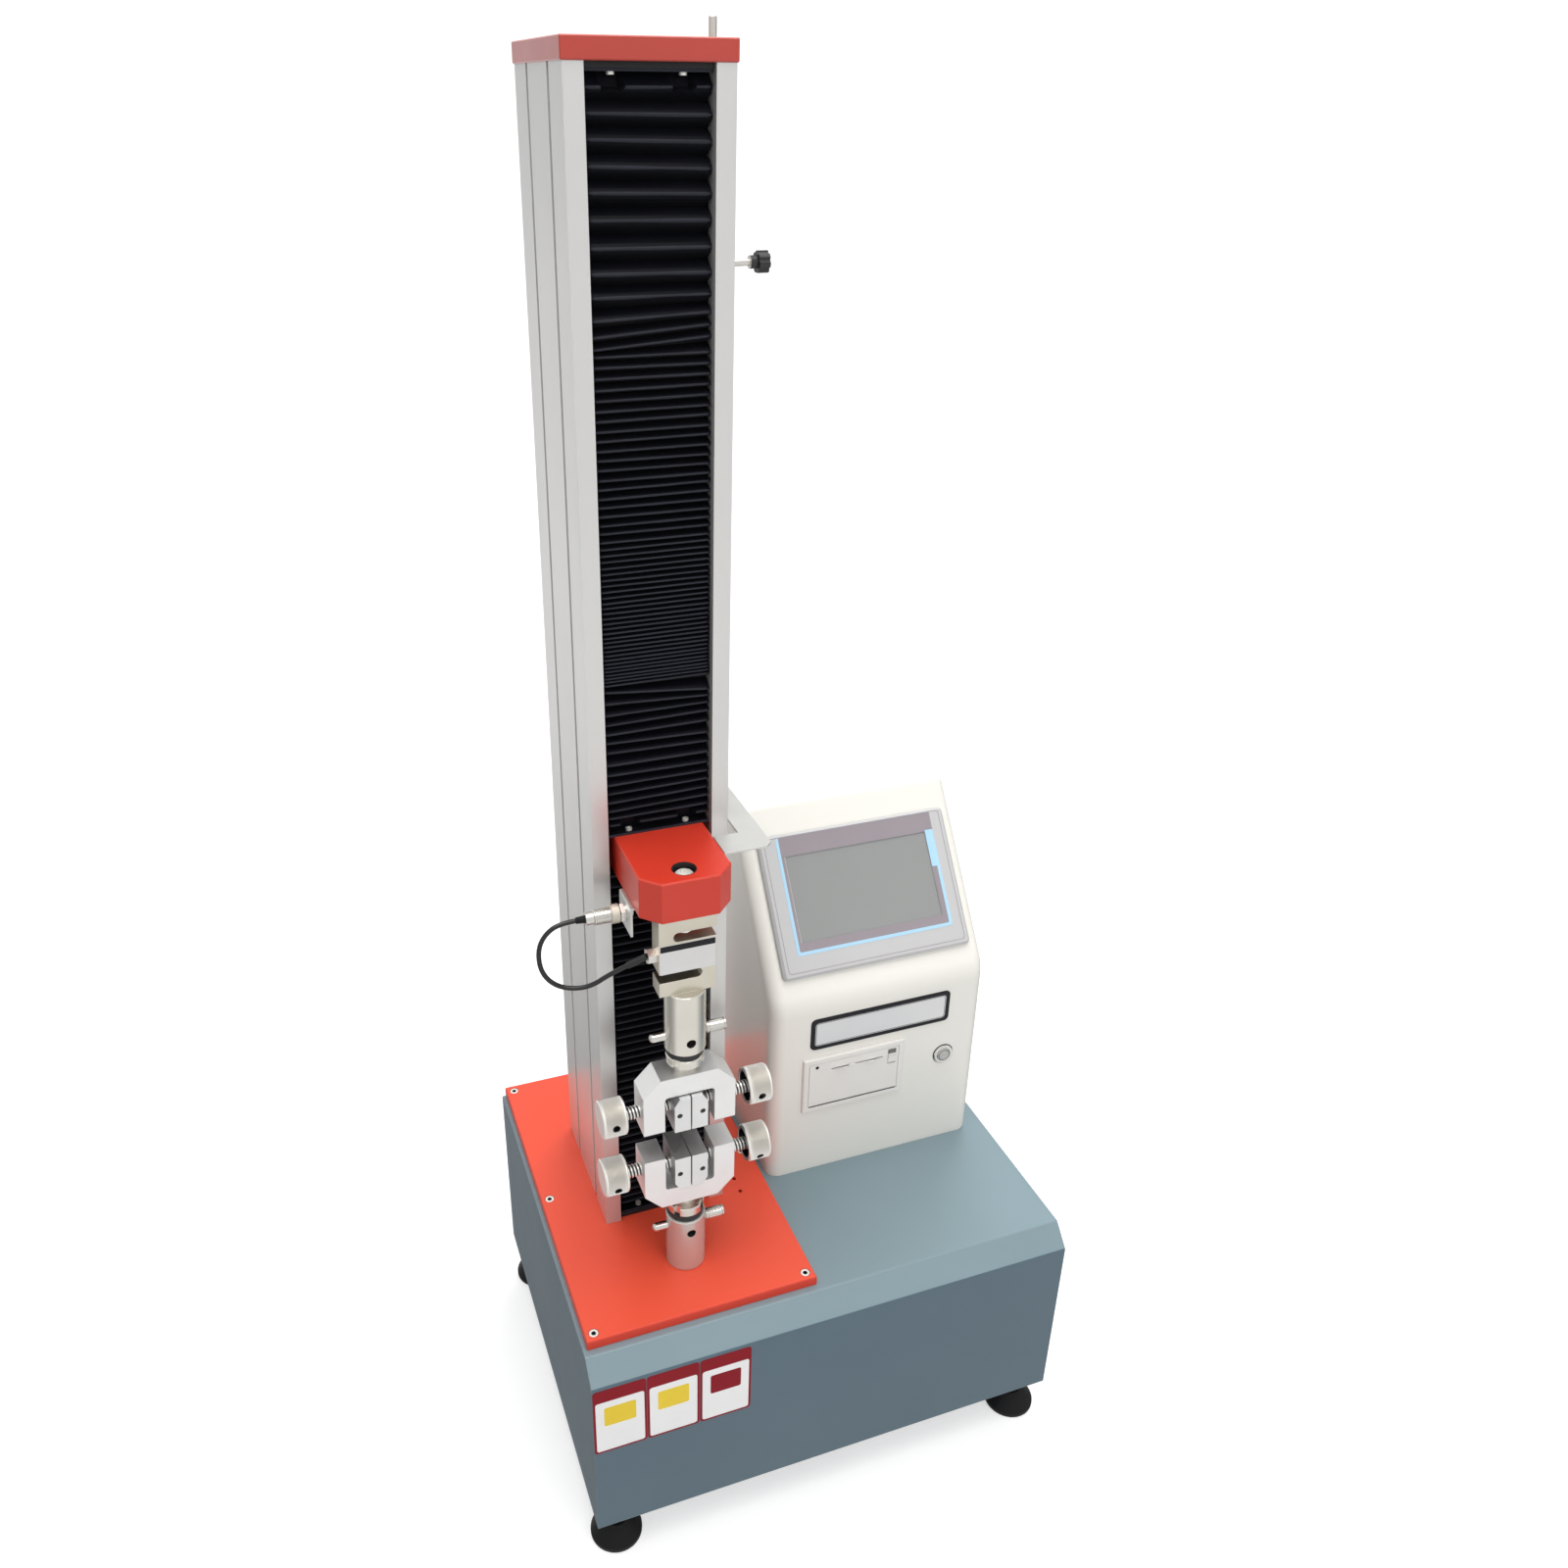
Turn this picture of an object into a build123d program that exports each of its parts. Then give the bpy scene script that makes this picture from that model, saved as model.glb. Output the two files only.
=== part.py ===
from build123d import *
import math
import os

# Single-column bench tensile tester, in millimetres. X runs right along the front, Y from front to back,
# Z up. The origin is the middle of the cabinet's footprint, on the bench.

# Cabinet
cabinet_width = 488
cabinet_depth = 385
cabinet_height = 211.5
cabinet_clearance = 45
cabinet_sheet = 1.5
cabinet_bend = 2.5
chamfer_run = 19
chamfer_drop = 20
base_sheet = 2
base_lip = 14
vent_length = 60
vent_height = 4
vent_pitch = 11
vent_count = 7
vent_left = -150
vent_bottom = 95
cable_hole_radius = 20
cable_hole_y = 100

# Levelling feet
foot_inset = 23.7
foot_radius = 25.3
foot_chamfer = 1.5
foot_rim = 5
foot_pad_height = 22
foot_neck_radius = 12
foot_stud_radius = 5
foot_stud_length = 36
foot_nut_across = 17
foot_nut_height = 6

# Table plate on the left of the cabinet
plate_left = -240
plate_right = -16
plate_front = -166.5
plate_thickness = 10
plate_screw_inset = 8.5
plate_counterbore_radius = 4.6
plate_counterbore_depth = 5.2
journal_room = 4
limit_rod_room = 1
edge_break = 0.8
accessory_hole_x = -46
accessory_hole_y = -31.5
accessory_hole_pitch = 18
accessory_hole_radius = 2.1

# Column
column_x = -125
column_width = 122
column_front = -38.5
column_depth = 145
column_height = 1021
profile_thickness = 14.8
profile_wall = 2.5
groove_width = 6
groove_depth = 2.5
groove_spacing = 64.8
back_plate_thickness = 3
cap_thickness = 15
cap_overhang = 1.3
cap_screw_inset = 18
channel_gap = 0.4

# Socket screws: head radius, head height, shank radius
plate_screw = (4.2, 4.8, 2.5)
cap_screw = (4.2, 4, 2.5)
bellows_screw = (2.8, 2, 1.5)
screw_hole_room = 0.1

# Drive inside the column and cabinet
screw_radius = 10
journal_radius = 7.5
bearing_radius = 17.5
bearing_width = 11
bearing_block_height = 25
rod_radius = 8
rod_offset = 31
rod_seat = 18
bush_radius = 12
bush_length = 26
nut_radius = 16
nut_flange_radius = 21
nut_flange_thickness = 8
running_fit = 0.05
pulley_radius = 30
motor_pulley_radius = 15
pulley_width = 18
pulley_flange = 2.5
belt_width = 15
belt_thickness = 1.8
belt_gap = 0.3
belt_height = 150
screw_shoulder_gap = 2
motor_x = -4
motor_size = 76
motor_length = 96
motor_shaft_radius = 7
motor_plate = 6
motor_post_radius = 5
motor_flange = 14
motor_post_inset = 7
motor_corner = 8
motor_shaft_depth = 16

# Crosshead
crosshead_bottom = 662.5
crosshead_height = 38
crosshead_width = 80
crosshead_front = -119.5
crosshead_chamfer_x = 15
crosshead_chamfer_y = 15.5
carriage_height = 90
carriage_front = -16
carriage_depth = 84
axis_y = -101
bolt_head_radius = 8
bolt_head_height = 9
bolt_well_radius = 10
bolt_seat_depth = 13
bolt_radius = 6
bolt_hole_radius = 6.4
bolt_key = 10
bolt_key_depth = 5
washer_radius = 11
carriage_side_gap = 1
carriage_chamfer = 3
nut_length = 45
nut_flat = 15
block_screw_depth = 6

# Bellows
bellows_width = 90
bellows_front = -33.5
bellows_fold = 11
bellows_skin = 0.9
bellows_flange = 2
bellows_screw_spacing = 51
bellows_screw_y = -28
bellows_screw_room = 0.3
upper_fold_count = 70
lower_fold_count = 46

# Load cell, an S-shaped beam
cell_width = 50.8
cell_depth = 19.1
cell_height = 76.2
cell_slot_height = 9
cell_slot_offset = 19.5
cell_slot_end = 12.6
cell_gap = 3
cell_top_thread = 18
cell_bottom_thread = 12

# Couplings
socket_radius = 18.6
upper_socket_length = 62
lower_socket_length = 60
shank_radius = 10
shank_depth = 34
shank_fit = 0.05
shank_gap = 24
band_radius = 16.2
band_height = 6.5
ring_radius = 17.4
ring_height = 9
ring_gap = 0.3
ring_notch_width = 6
ring_notch_depth = 3
pin_inset = 13.5
pin_radius = 4
pin_tip_radius = 2.5
pin_head_radius = 5.4
pin_head_length = 19
pin_reach = 14
pin_fit = 0.1
sight_hole_radius = 4.2

# Grips
grip_width = 86
grip_depth = 28.4
grip_height = 57.5
grip_chamfer_x = 16
grip_chamfer_z = 16.6
grip_slot_width = 46.4
grip_slot_depth = 37.5
grip_slot_corner = 3.5
socket_stud_length = 11
grip_screw_inset = 18
shank_entry = 12
jaw_thickness = 15
jaw_depth = 37
jaw_height = 36.5
jaw_half_gap = 0.6
jaw_chamfer_x = 5
jaw_chamfer_z = 8
jaw_hole_offset = 10.7
jaw_hole_radius = 2.5
jaw_pocket_depth = 5
jaw_pocket_gap = 0.3
clamp_screw_radius = 6
clamp_screw_fit = 0.1
knob_radius = 17
knob_length = 22
knob_stand_off = 14.2
knob_cup_radius = 13.4
knob_cup_depth = 12
knob_hole_radius = 3.4
knob_hole_turn = {"upper_left": -2, "upper_right": 6, "lower_left": -14, "lower_right": -21}

# Connector and bracket on the left of the crosshead
connector_y = -72
connector_z = 650
bracket_sheet = 2
bracket_width = 33
bracket_drop = 28
bracket_reach = 3
bracket_seat = 17
bracket_bend = 1.5
connector_radius = 6.8
connector_barrel_radius = 5
connector_flange = 1.5
connector_ring_gap = 0.3
connector_ring_radius = 8.4
connector_nut_across = 15
connector_nut_thickness = 3.5
connector_ring_length = 8
connector_body_length = 14.5
connector_collar_radius = 5.6
connector_collar_length = 7
boot_radius = 3.2
boot_length = 8
cord_radius = 2.1
cord_last_run = 16
# The cord's corners, measured from the end of the connector's sleeve
cord_corners = (
    (-13.5, 0, 0), (-26, -1, -7), (-33, -3, -19), (-33, -6, -37), (-25.5, -9, -50.5), (-12, -12, -58),
    (6.5, -17, -57),
)
gland_across = 12
gland_length = 8
sleeve_radius = 3
sleeve_length = 18

# Striker and limit rod on the right of the column
striker_front = -88.5
striker_arm_depth = 28.5
striker_right = -41.5
striker_corner = 5
striker_gap = 1.5
striker_flange_drop = 28
limit_rod_x = -56.5
limit_rod_y = 33
limit_rod_radius = 3
limit_rod_bottom = 236
limit_rod_top = 1318.5
stop_width = 22
stop_depth = 22
stop_height = 9.7
stop_gap = 0.6
upper_stop_bottom = 1147
lower_stop_drop = 4
upper_guide_bottom = 1210
lower_guide_bottom = 300
stop_stud_radius = 2.8
stop_stud_length = 27.8
stop_stud_free = 16
stop_collar_radius = 5
stop_chamfer = 0.6
stop_collar_length = 6
star_radius = 8.4
star_length = 9
star_lobes = 7
star_scallop = 2
grub_radius = 2.5
grub_depth = 3

# Console
console_left = -9
console_width = 235
console_front = -25
console_depth = 197
console_height = 378.5
console_knee = 214.3
console_slope_run = 117
console_wall = 3
console_corner = 14
console_knee_radius = 40
console_top_radius = 16
display_centre_x = 108.6
display_along = 97
display_width = 204.5
display_height = 142
display_thickness = 7
display_corner = 5
display_rim = 16.5
display_box_depth = 28
window_width = 154.6
window_height = 86
window_along = 102.2
glass_thickness = 2
glass_recess = 1
console_fit = 0.5
console_vent_rise = 60
display_bevel = 2.5
printer_left = 25
printer_width = 112
printer_bottom = 336
printer_height = 66
printer_frame_thickness = 3
printer_border = 6
printer_bay_depth = 42
printer_wall = 2
door_thickness = 3
door_gap = 0.4
door_hinge_radius = 1.1
door_hinge_fit = 0.1
paper_slot_width = 57
paper_slot_height = 1.6
paper_slot_inset = 24
paper_slot_rise = 49
door_hinge_rise = 2.7
door_hinge_reach = 1.5
door_corner = 1.2
latch_width = 9
latch_height = 15.6
latch_inset = 12
latch_travel = 2.5
latch_gap = 0.3
latch_depth = 2
latch_top_inset = 2
latch_ridge_pitch = 2.5
button_x = 184.8
button_z = 369
button_ring_radius = 11
button_ring_height = 2.2
button_radius = 7.6
button_barrel_radius = 9.4
button_barrel_length = 24
button_stand = 1.2
button_travel = 2.5
button_floor = 3

# Power inlet and switch at the back
inlet_x = 170
inlet_z = 95
inlet_width = 27
inlet_height = 20
inlet_depth = 20
inlet_flange = 6
inlet_rim = 3
inlet_wall = 1.6
inlet_floor = 4
inlet_fit = 0.2
blade_places = ((-7, -2.5), (0, 2.5), (7, -2.5))
blade_width = 2
blade_height = 4
blade_inset = 4
blade_tail = 5
switch_x = 120
switch_width = 13
switch_height = 19
switch_throw = 10
switch_wall = 1.2
switch_side_gap = 0.3
switch_pivot_depth = 8
switch_rocker_inset = 2.6
switch_pin_radius = 1.5
switch_pin_reach = 1

# Levels and places that follow from the sizes above
cabinet_bottom = cabinet_clearance
cabinet_top = cabinet_bottom + cabinet_height
cabinet_front = -cabinet_depth / 2
cabinet_back = cabinet_depth / 2
cabinet_floor = cabinet_bottom + base_sheet
cabinet_ceiling = cabinet_top - cabinet_sheet
plate_top = cabinet_top + plate_thickness
column_back = column_front + column_depth
column_mid_y = (column_front + column_back) / 2
column_top = plate_top + column_height
column_right = column_x + column_width / 2
channel_half = column_width / 2 - profile_thickness
crosshead_top = crosshead_bottom + crosshead_height
crosshead_left = column_x - crosshead_width / 2
crosshead_right = column_x + crosshead_width / 2
crosshead_mid = (crosshead_bottom + crosshead_top) / 2
load_bolt_seat = crosshead_top - bolt_seat_depth
carriage_bottom = crosshead_mid - carriage_height / 2
carriage_top = crosshead_mid + carriage_height / 2
carriage_back = carriage_front + carriage_depth
lower_bearing_top = plate_top + bearing_block_height
upper_bearing_bottom = column_top - bearing_block_height
bellows_ledge = 4
pulley_bottom = belt_height
pulley_top = pulley_bottom + pulley_width
cell_top = crosshead_bottom - cell_gap
cell_bottom = cell_top - cell_height
cell_left = column_x - cell_width / 2
cell_mid = cell_bottom + cell_height / 2
upper_socket_bottom = cell_bottom - upper_socket_length
lower_socket_top = plate_top + lower_socket_length
upper_grip_top = upper_socket_bottom - shank_gap
upper_mouth = upper_grip_top - grip_height
lower_grip_bottom = lower_socket_top + shank_gap
lower_mouth = lower_grip_bottom + grip_height
bracket_left = crosshead_left - bracket_reach
striker_sheet = bracket_sheet
striker_inner = column_right + striker_gap
lower_stop_bottom = crosshead_top - striker_sheet - lower_stop_drop - stop_height
console_right = console_left + console_width
console_mid_x = (console_left + console_right) / 2
console_back = console_front + console_depth
console_bottom = cabinet_top
console_top = console_bottom + console_height
knee_z = console_bottom + console_knee
slope_rise = console_height - console_knee
slope_angle = math.atan2(console_slope_run, slope_rise)
slope_plane = Plane(
    origin=(display_centre_x, console_front, knee_z),
    x_dir=(1, 0, 0),
    z_dir=(0, -math.cos(slope_angle), math.sin(slope_angle)),
)
motor_top = pulley_bottom - 4
door_height = printer_height - 2 * printer_border
door_bottom = printer_bottom + printer_border


def span_box(x0, x1, y0, y1, z0, z1):
    return Pos((x0 + x1) / 2, (y0 + y1) / 2, (z0 + z1) / 2) * Box(x1 - x0, y1 - y0, z1 - z0)


def rod_z(x, y, z0, z1, radius):
    return Pos(x, y, (z0 + z1) / 2) * Cylinder(radius, z1 - z0)


def rod_x(x0, x1, y, z, radius):
    return Pos((x0 + x1) / 2, y, z) * Rot(0, 90, 0) * Cylinder(radius, abs(x1 - x0))


def rod_y(x, y0, y1, z, radius):
    return Pos(x, (y0 + y1) / 2, z) * Rot(90, 0, 0) * Cylinder(radius, abs(y1 - y0))


def hex_z(x, y, z0, z1, across):
    return Pos(x, y, z0) * extrude(RegularPolygon(across / 2, 6, major_radius=False), z1 - z0)


def hex_x(x0, x1, y, z, across):
    hexagon = RegularPolygon(across / 2, 6, major_radius=False)
    return Pos(x0, y, z) * Rot(0, 90, 0) * extrude(hexagon, x1 - x0)


def level_pair(a, b):
    return min(a, b), max(a, b)


def socket_screw(x, y, seat, size, length, up=1):
    # The head stands on the seat; with up = -1 the screw is put in from below.
    head_radius, head_height, shank_radius = size
    end = seat + up * head_height
    head = rod_z(x, y, *level_pair(seat, end), head_radius)
    shank = rod_z(x, y, *level_pair(seat - up * length, seat), shank_radius)
    return head + shank - hex_z(x, y, *level_pair(end - up * head_height * 0.6, end), head_radius)


# Cabinet and feet
def side_outline(inset, floor_z):
    # Outline of the cabinet from the side, with every edge moved inwards by inset.
    front = cabinet_front + inset
    back = cabinet_back - inset
    top = cabinet_top - inset
    slope = math.atan2(chamfer_drop, chamfer_run)
    return Polyline(
        (front, floor_z),
        (back, floor_z),
        (back, top),
        (cabinet_front + chamfer_run + inset * math.tan(slope / 2), top),
        (front, cabinet_top - chamfer_drop - inset * math.tan((math.pi / 2 - slope) / 2)),
        close=True,
    )


def across_cabinet(inset, floor_z):
    face = make_face(Plane.YZ * side_outline(inset, floor_z))
    face = fillet([v for v in face.vertices() if v.Z > floor_z + 1], cabinet_bend - inset)
    half = cabinet_width / 2 - inset
    return Pos(-half, 0, 0) * extrude(face, 2 * half, dir=(1, 0, 0))


def foot_centres():
    x = cabinet_width / 2 - foot_inset
    y = cabinet_depth / 2 - foot_inset
    return [(-x, -y), (x, -y), (-x, y), (x, y)]


def make_cabinet_shell():
    shell = across_cabinet(0, cabinet_bottom) - across_cabinet(cabinet_sheet, cabinet_bottom - 1)
    top = (cabinet_ceiling - 1, cabinet_top + 1)
    shell -= rod_z(column_x, column_mid_y, *top, journal_radius + journal_room)
    shell -= rod_z(limit_rod_x, limit_rod_y, *top, limit_rod_radius + limit_rod_room)
    shell -= rod_z(console_mid_x, cable_hole_y, *top, cable_hole_radius)
    for x, y in plate_screw_places():
        shell -= rod_z(x, y, *top, plate_screw[2] + screw_hole_room)
    back = (cabinet_back - cabinet_sheet - 1, cabinet_back + 1)
    shell -= span_box(inlet_x - inlet_width / 2, inlet_x + inlet_width / 2, *back,
                      inlet_z - inlet_height / 2, inlet_z + inlet_height / 2)
    shell -= span_box(switch_x - switch_width / 2, switch_x + switch_width / 2, *back,
                      inlet_z - switch_height / 2, inlet_z + switch_height / 2)
    for row in range(vent_count):
        z = vent_bottom + row * vent_pitch
        shell -= span_box(vent_left, vent_left + vent_length, *back, z, z + vent_height)
    return shell


def make_cabinet_base():
    half_x = cabinet_width / 2 - cabinet_sheet - 0.3
    half_y = cabinet_depth / 2 - cabinet_sheet - 0.3
    tray = span_box(-half_x, half_x, -half_y, half_y, cabinet_bottom, cabinet_floor + base_lip)
    tray -= span_box(-half_x + base_sheet, half_x - base_sheet, -half_y + base_sheet, half_y - base_sheet,
                     cabinet_floor, cabinet_floor + base_lip + 1)
    for x, y in foot_centres():
        tray -= rod_z(x, y, cabinet_bottom - 1, cabinet_floor + 1, foot_stud_radius)
    return tray


def make_levelling_feet():
    parts = []
    for x, y in foot_centres():
        outline = Polyline(
            (0, 0), (foot_radius - foot_chamfer, 0), (foot_radius, foot_chamfer), (foot_radius, foot_rim),
            (foot_neck_radius, foot_pad_height), (0, foot_pad_height), close=True,
        )
        pad = revolve(make_face(Plane.XZ * outline), Axis.Z)
        top = foot_pad_height + foot_stud_length
        stud = rod_z(x, y, foot_pad_height, top, foot_stud_radius)
        nut_bottom = cabinet_bottom - foot_nut_height
        nut = hex_z(x, y, nut_bottom, cabinet_bottom, foot_nut_across)
        nut -= rod_z(x, y, nut_bottom, cabinet_bottom, foot_stud_radius)
        parts += [Pos(x, y, 0) * pad, stud, nut]
    return parts


# Table plate and its screws
def plate_screw_places():
    xs = (plate_left + plate_screw_inset, plate_right - plate_screw_inset)
    front = plate_front + plate_screw_inset
    back = cabinet_back - plate_screw_inset
    return [(x, y) for x in xs for y in (front, (front + back) / 2, back)]


def make_table_plate():
    plate = span_box(plate_left, plate_right, plate_front, cabinet_back, cabinet_top, plate_top)
    plate = chamfer(plate.edges().group_by(Axis.Z)[-1], edge_break)
    through = (cabinet_top - 1, plate_top + 1)
    for x, y in plate_screw_places():
        plate -= rod_z(x, y, plate_top - plate_counterbore_depth, plate_top + 1, plate_counterbore_radius)
        plate -= rod_z(x, y, *through, plate_screw[2] + screw_hole_room)
    for side in (-1, 1):
        y = accessory_hole_y + side * accessory_hole_pitch / 2
        plate -= rod_z(accessory_hole_x, y, *through, accessory_hole_radius)
    plate -= rod_z(column_x, column_mid_y, *through, journal_radius + journal_room)
    return plate - rod_z(limit_rod_x, limit_rod_y, *through, limit_rod_radius + limit_rod_room)


def bellows_screw_places():
    half = bellows_screw_spacing / 2
    return [(column_x - half, bellows_screw_y), (column_x + half, bellows_screw_y)]


def cap_screw_places():
    dx = column_width / 2 - profile_thickness / 2
    dy = column_depth / 2 - cap_screw_inset
    return [(column_x + i * dx, column_mid_y + j * dy) for i in (-1, 1) for j in (-1, 1)]


def make_frame_screws():
    plate_seat = plate_top - plate_counterbore_depth
    cap_seat = column_top + cap_thickness - cap_screw[1]
    low = plate_top + bellows_ledge + bellows_flange
    high = column_top - bellows_ledge - bellows_flange
    parts = [socket_screw(x, y, plate_seat, plate_screw, 9) for x, y in plate_screw_places()]
    parts += [socket_screw(x, y, cap_seat, cap_screw, 8) for x, y in cap_screw_places()]
    for x, y in bellows_screw_places():
        parts.append(socket_screw(x, y, low, bellows_screw, bellows_flange))
        parts.append(socket_screw(x, y, high, bellows_screw, bellows_flange, up=-1))
    return parts


# Column
def profile_section():
    # Hollow side profile drawn with its grooved outer face towards -X and its middle at the origin.
    section = Rectangle(profile_thickness, column_depth)
    for side in (-1, 1):
        section -= Pos(-profile_thickness / 2, side * groove_spacing / 2) * Rectangle(2 * groove_depth,
                                                                                    groove_width)
    chamber_x = profile_thickness - 2 * profile_wall
    end_chamber = (column_depth - groove_spacing) / 2 - groove_width / 2 - 2 * profile_wall
    middle_chamber = groove_spacing - groove_width - 2 * profile_wall
    section -= Rectangle(chamber_x, middle_chamber)
    for side in (-1, 1):
        y = side * (column_depth / 2 - profile_wall - end_chamber / 2)
        section -= Pos(0, y) * Rectangle(chamber_x, end_chamber)
    return section


def make_column_profiles():
    profile = extrude(profile_section(), column_height)
    offset_x = column_width / 2 - profile_thickness / 2
    left = Pos(column_x - offset_x, column_mid_y, plate_top) * profile
    right = Pos(column_x + offset_x, column_mid_y, plate_top) * Rot(0, 0, 180) * profile
    return [left, right]


def make_column_back_plate():
    half = channel_half - channel_gap
    return span_box(column_x - half, column_x + half, column_back - back_plate_thickness, column_back,
                    plate_top, column_top)


def bearing_block(z0, z1, bearing_z, ledge_z):
    half = channel_half - channel_gap
    front = carriage_front + 1
    body = span_box(column_x - half, column_x + half, front, column_back - back_plate_thickness, z0, z1)
    body += span_box(column_x - half, column_x + half, bellows_front - 1, front, *ledge_z)
    body -= rod_z(column_x, column_mid_y, bearing_z, bearing_z + bearing_width, bearing_radius)
    body -= rod_z(column_x, column_mid_y, z0 - 1, z1 + 1, journal_radius + 3)
    return body


def bearing_ring(z):
    ring = rod_z(column_x, column_mid_y, z, z + bearing_width, bearing_radius)
    return ring - rod_z(column_x, column_mid_y, z - 1, z + bearing_width + 1, journal_radius + running_fit)


def rod_places():
    return [column_x - rod_offset, column_x + rod_offset]


def make_bearing_blocks():
    lower_z = lower_bearing_top - bearing_width
    low = bearing_block(plate_top, lower_bearing_top, lower_z, (plate_top, plate_top + bellows_ledge))
    high = bearing_block(upper_bearing_bottom, column_top, upper_bearing_bottom,
                         (column_top - bellows_ledge, column_top))
    for x in rod_places():
        low -= rod_z(x, column_mid_y, lower_bearing_top - rod_seat, lower_bearing_top, rod_radius)
        high -= rod_z(x, column_mid_y, upper_bearing_bottom, upper_bearing_bottom + rod_seat, rod_radius)
    for x, y in bellows_screw_places():
        low -= rod_z(x, y, plate_top, plate_top + bellows_ledge, bellows_screw[2])
        high -= rod_z(x, y, column_top - bellows_ledge, column_top, bellows_screw[2])
    return [low, high, bearing_ring(lower_z), bearing_ring(upper_bearing_bottom)]


def make_guide_rods():
    low = lower_bearing_top - rod_seat
    high = upper_bearing_bottom + rod_seat
    return [rod_z(x, column_mid_y, low, high, rod_radius) for x in rod_places()]


def make_column_cap():
    half_x = column_width / 2 + cap_overhang
    half_y = column_depth / 2 + cap_overhang
    cap = span_box(column_x - half_x, column_x + half_x, column_mid_y - half_y, column_mid_y + half_y,
                   column_top, column_top + cap_thickness)
    cap = chamfer(cap.edges(), edge_break)
    head_radius, head_height, shank_radius = cap_screw
    cap_top = column_top + cap_thickness
    for x, y in cap_screw_places():
        cap -= rod_z(x, y, column_top - 1, cap_top, shank_radius)
        cap -= rod_z(x, y, cap_top - head_height, cap_top + 1, head_radius)
    return cap


# Drive
def flanged_pulley(x, radius):
    wheel = rod_z(x, column_mid_y, pulley_bottom, pulley_top, radius)
    rim = (pulley_width - belt_width) / 2 - belt_gap
    wheel += rod_z(x, column_mid_y, pulley_bottom, pulley_bottom + rim, radius + pulley_flange)
    wheel += rod_z(x, column_mid_y, pulley_top - rim, pulley_top, radius + pulley_flange)
    return wheel


def make_ball_screw():
    bottom = lower_bearing_top + screw_shoulder_gap
    top = upper_bearing_bottom - screw_shoulder_gap
    shaft = rod_z(column_x, column_mid_y, bottom, top, screw_radius)
    shaft += rod_z(column_x, column_mid_y, pulley_bottom, bottom, journal_radius)
    shaft += rod_z(column_x, column_mid_y, top, column_top - 4, journal_radius)
    pulley = flanged_pulley(column_x, pulley_radius)
    pulley -= rod_z(column_x, column_mid_y, pulley_bottom, pulley_top, journal_radius)
    return [shaft, pulley]


def belt_loop(extra):
    distance = motor_x - column_x
    big = pulley_radius + belt_gap + extra
    small = motor_pulley_radius + belt_gap + extra
    tilt = math.acos((big - small) / distance)
    points = [(big * math.cos(tilt), big * math.sin(tilt)),
              (distance + small * math.cos(tilt), small * math.sin(tilt))]
    web = make_face(Polyline(points[0], points[1], (points[1][0], -points[1][1]),
                             (points[0][0], -points[0][1]), close=True))
    return Circle(big) + Pos(distance, 0) * Circle(small) + web


def make_drive_belt():
    section = belt_loop(belt_thickness) - belt_loop(0)
    z = pulley_bottom + (pulley_width - belt_width) / 2
    return Pos(column_x, column_mid_y, z) * extrude(section, belt_width)


def make_drive_motor():
    half = motor_size / 2
    body = span_box(motor_x - half, motor_x + half, column_mid_y - half, column_mid_y + half,
                    motor_top - motor_length, motor_top - motor_plate)
    body = fillet(body.edges().filter_by(Axis.Z), motor_corner)
    seat = half + motor_flange
    plate = span_box(motor_x - seat, motor_x + seat, column_mid_y - seat, column_mid_y + seat,
                     motor_top - motor_plate, motor_top)
    bore = rod_z(motor_x, column_mid_y, motor_top - motor_shaft_depth, motor_top + 1,
                 motor_shaft_radius + running_fit)
    parts = [body - bore, plate - bore]
    post = seat - motor_post_inset
    for x in (motor_x - post, motor_x + post):
        for y in (column_mid_y - post, column_mid_y + post):
            parts.append(rod_z(x, y, motor_top, cabinet_ceiling, motor_post_radius))
    return parts


def make_motor_pulley():
    shaft_end = motor_top - motor_shaft_depth + 0.5
    shaft = rod_z(motor_x, column_mid_y, shaft_end, pulley_bottom, motor_shaft_radius)
    return shaft + flanged_pulley(motor_x, motor_pulley_radius)


# Crosshead
def make_carriage():
    half = channel_half - carriage_side_gap
    body = span_box(column_x - half, column_x + half, carriage_front, carriage_back, carriage_bottom,
                    carriage_top)
    body = chamfer(body.edges().filter_by(Axis.Z), carriage_chamfer)
    body -= rod_z(column_x, column_mid_y, carriage_bottom - 1, carriage_top + 1, nut_radius)
    for x in rod_places():
        body -= rod_z(x, column_mid_y, carriage_bottom - 1, carriage_top + 1, bush_radius)
    return body


def make_carriage_bearings():
    through = (carriage_bottom - 20, carriage_top + 20)
    nut = rod_z(column_x, column_mid_y, carriage_bottom, carriage_bottom + nut_length, nut_radius)
    flange_bottom = carriage_bottom - nut_flange_thickness
    flange = rod_z(column_x, column_mid_y, flange_bottom, carriage_bottom, nut_flange_radius)
    flange &= span_box(column_x - nut_flat, column_x + nut_flat, carriage_front, carriage_back, flange_bottom,
                       carriage_bottom)
    nut = nut + flange - rod_z(column_x, column_mid_y, *through, screw_radius + running_fit)
    parts = [nut]
    for x in rod_places():
        for z in (carriage_bottom, carriage_top - bush_length):
            bush = rod_z(x, column_mid_y, z, z + bush_length, bush_radius)
            parts.append(bush - rod_z(x, column_mid_y, *through, rod_radius + running_fit))
    return parts


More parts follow.
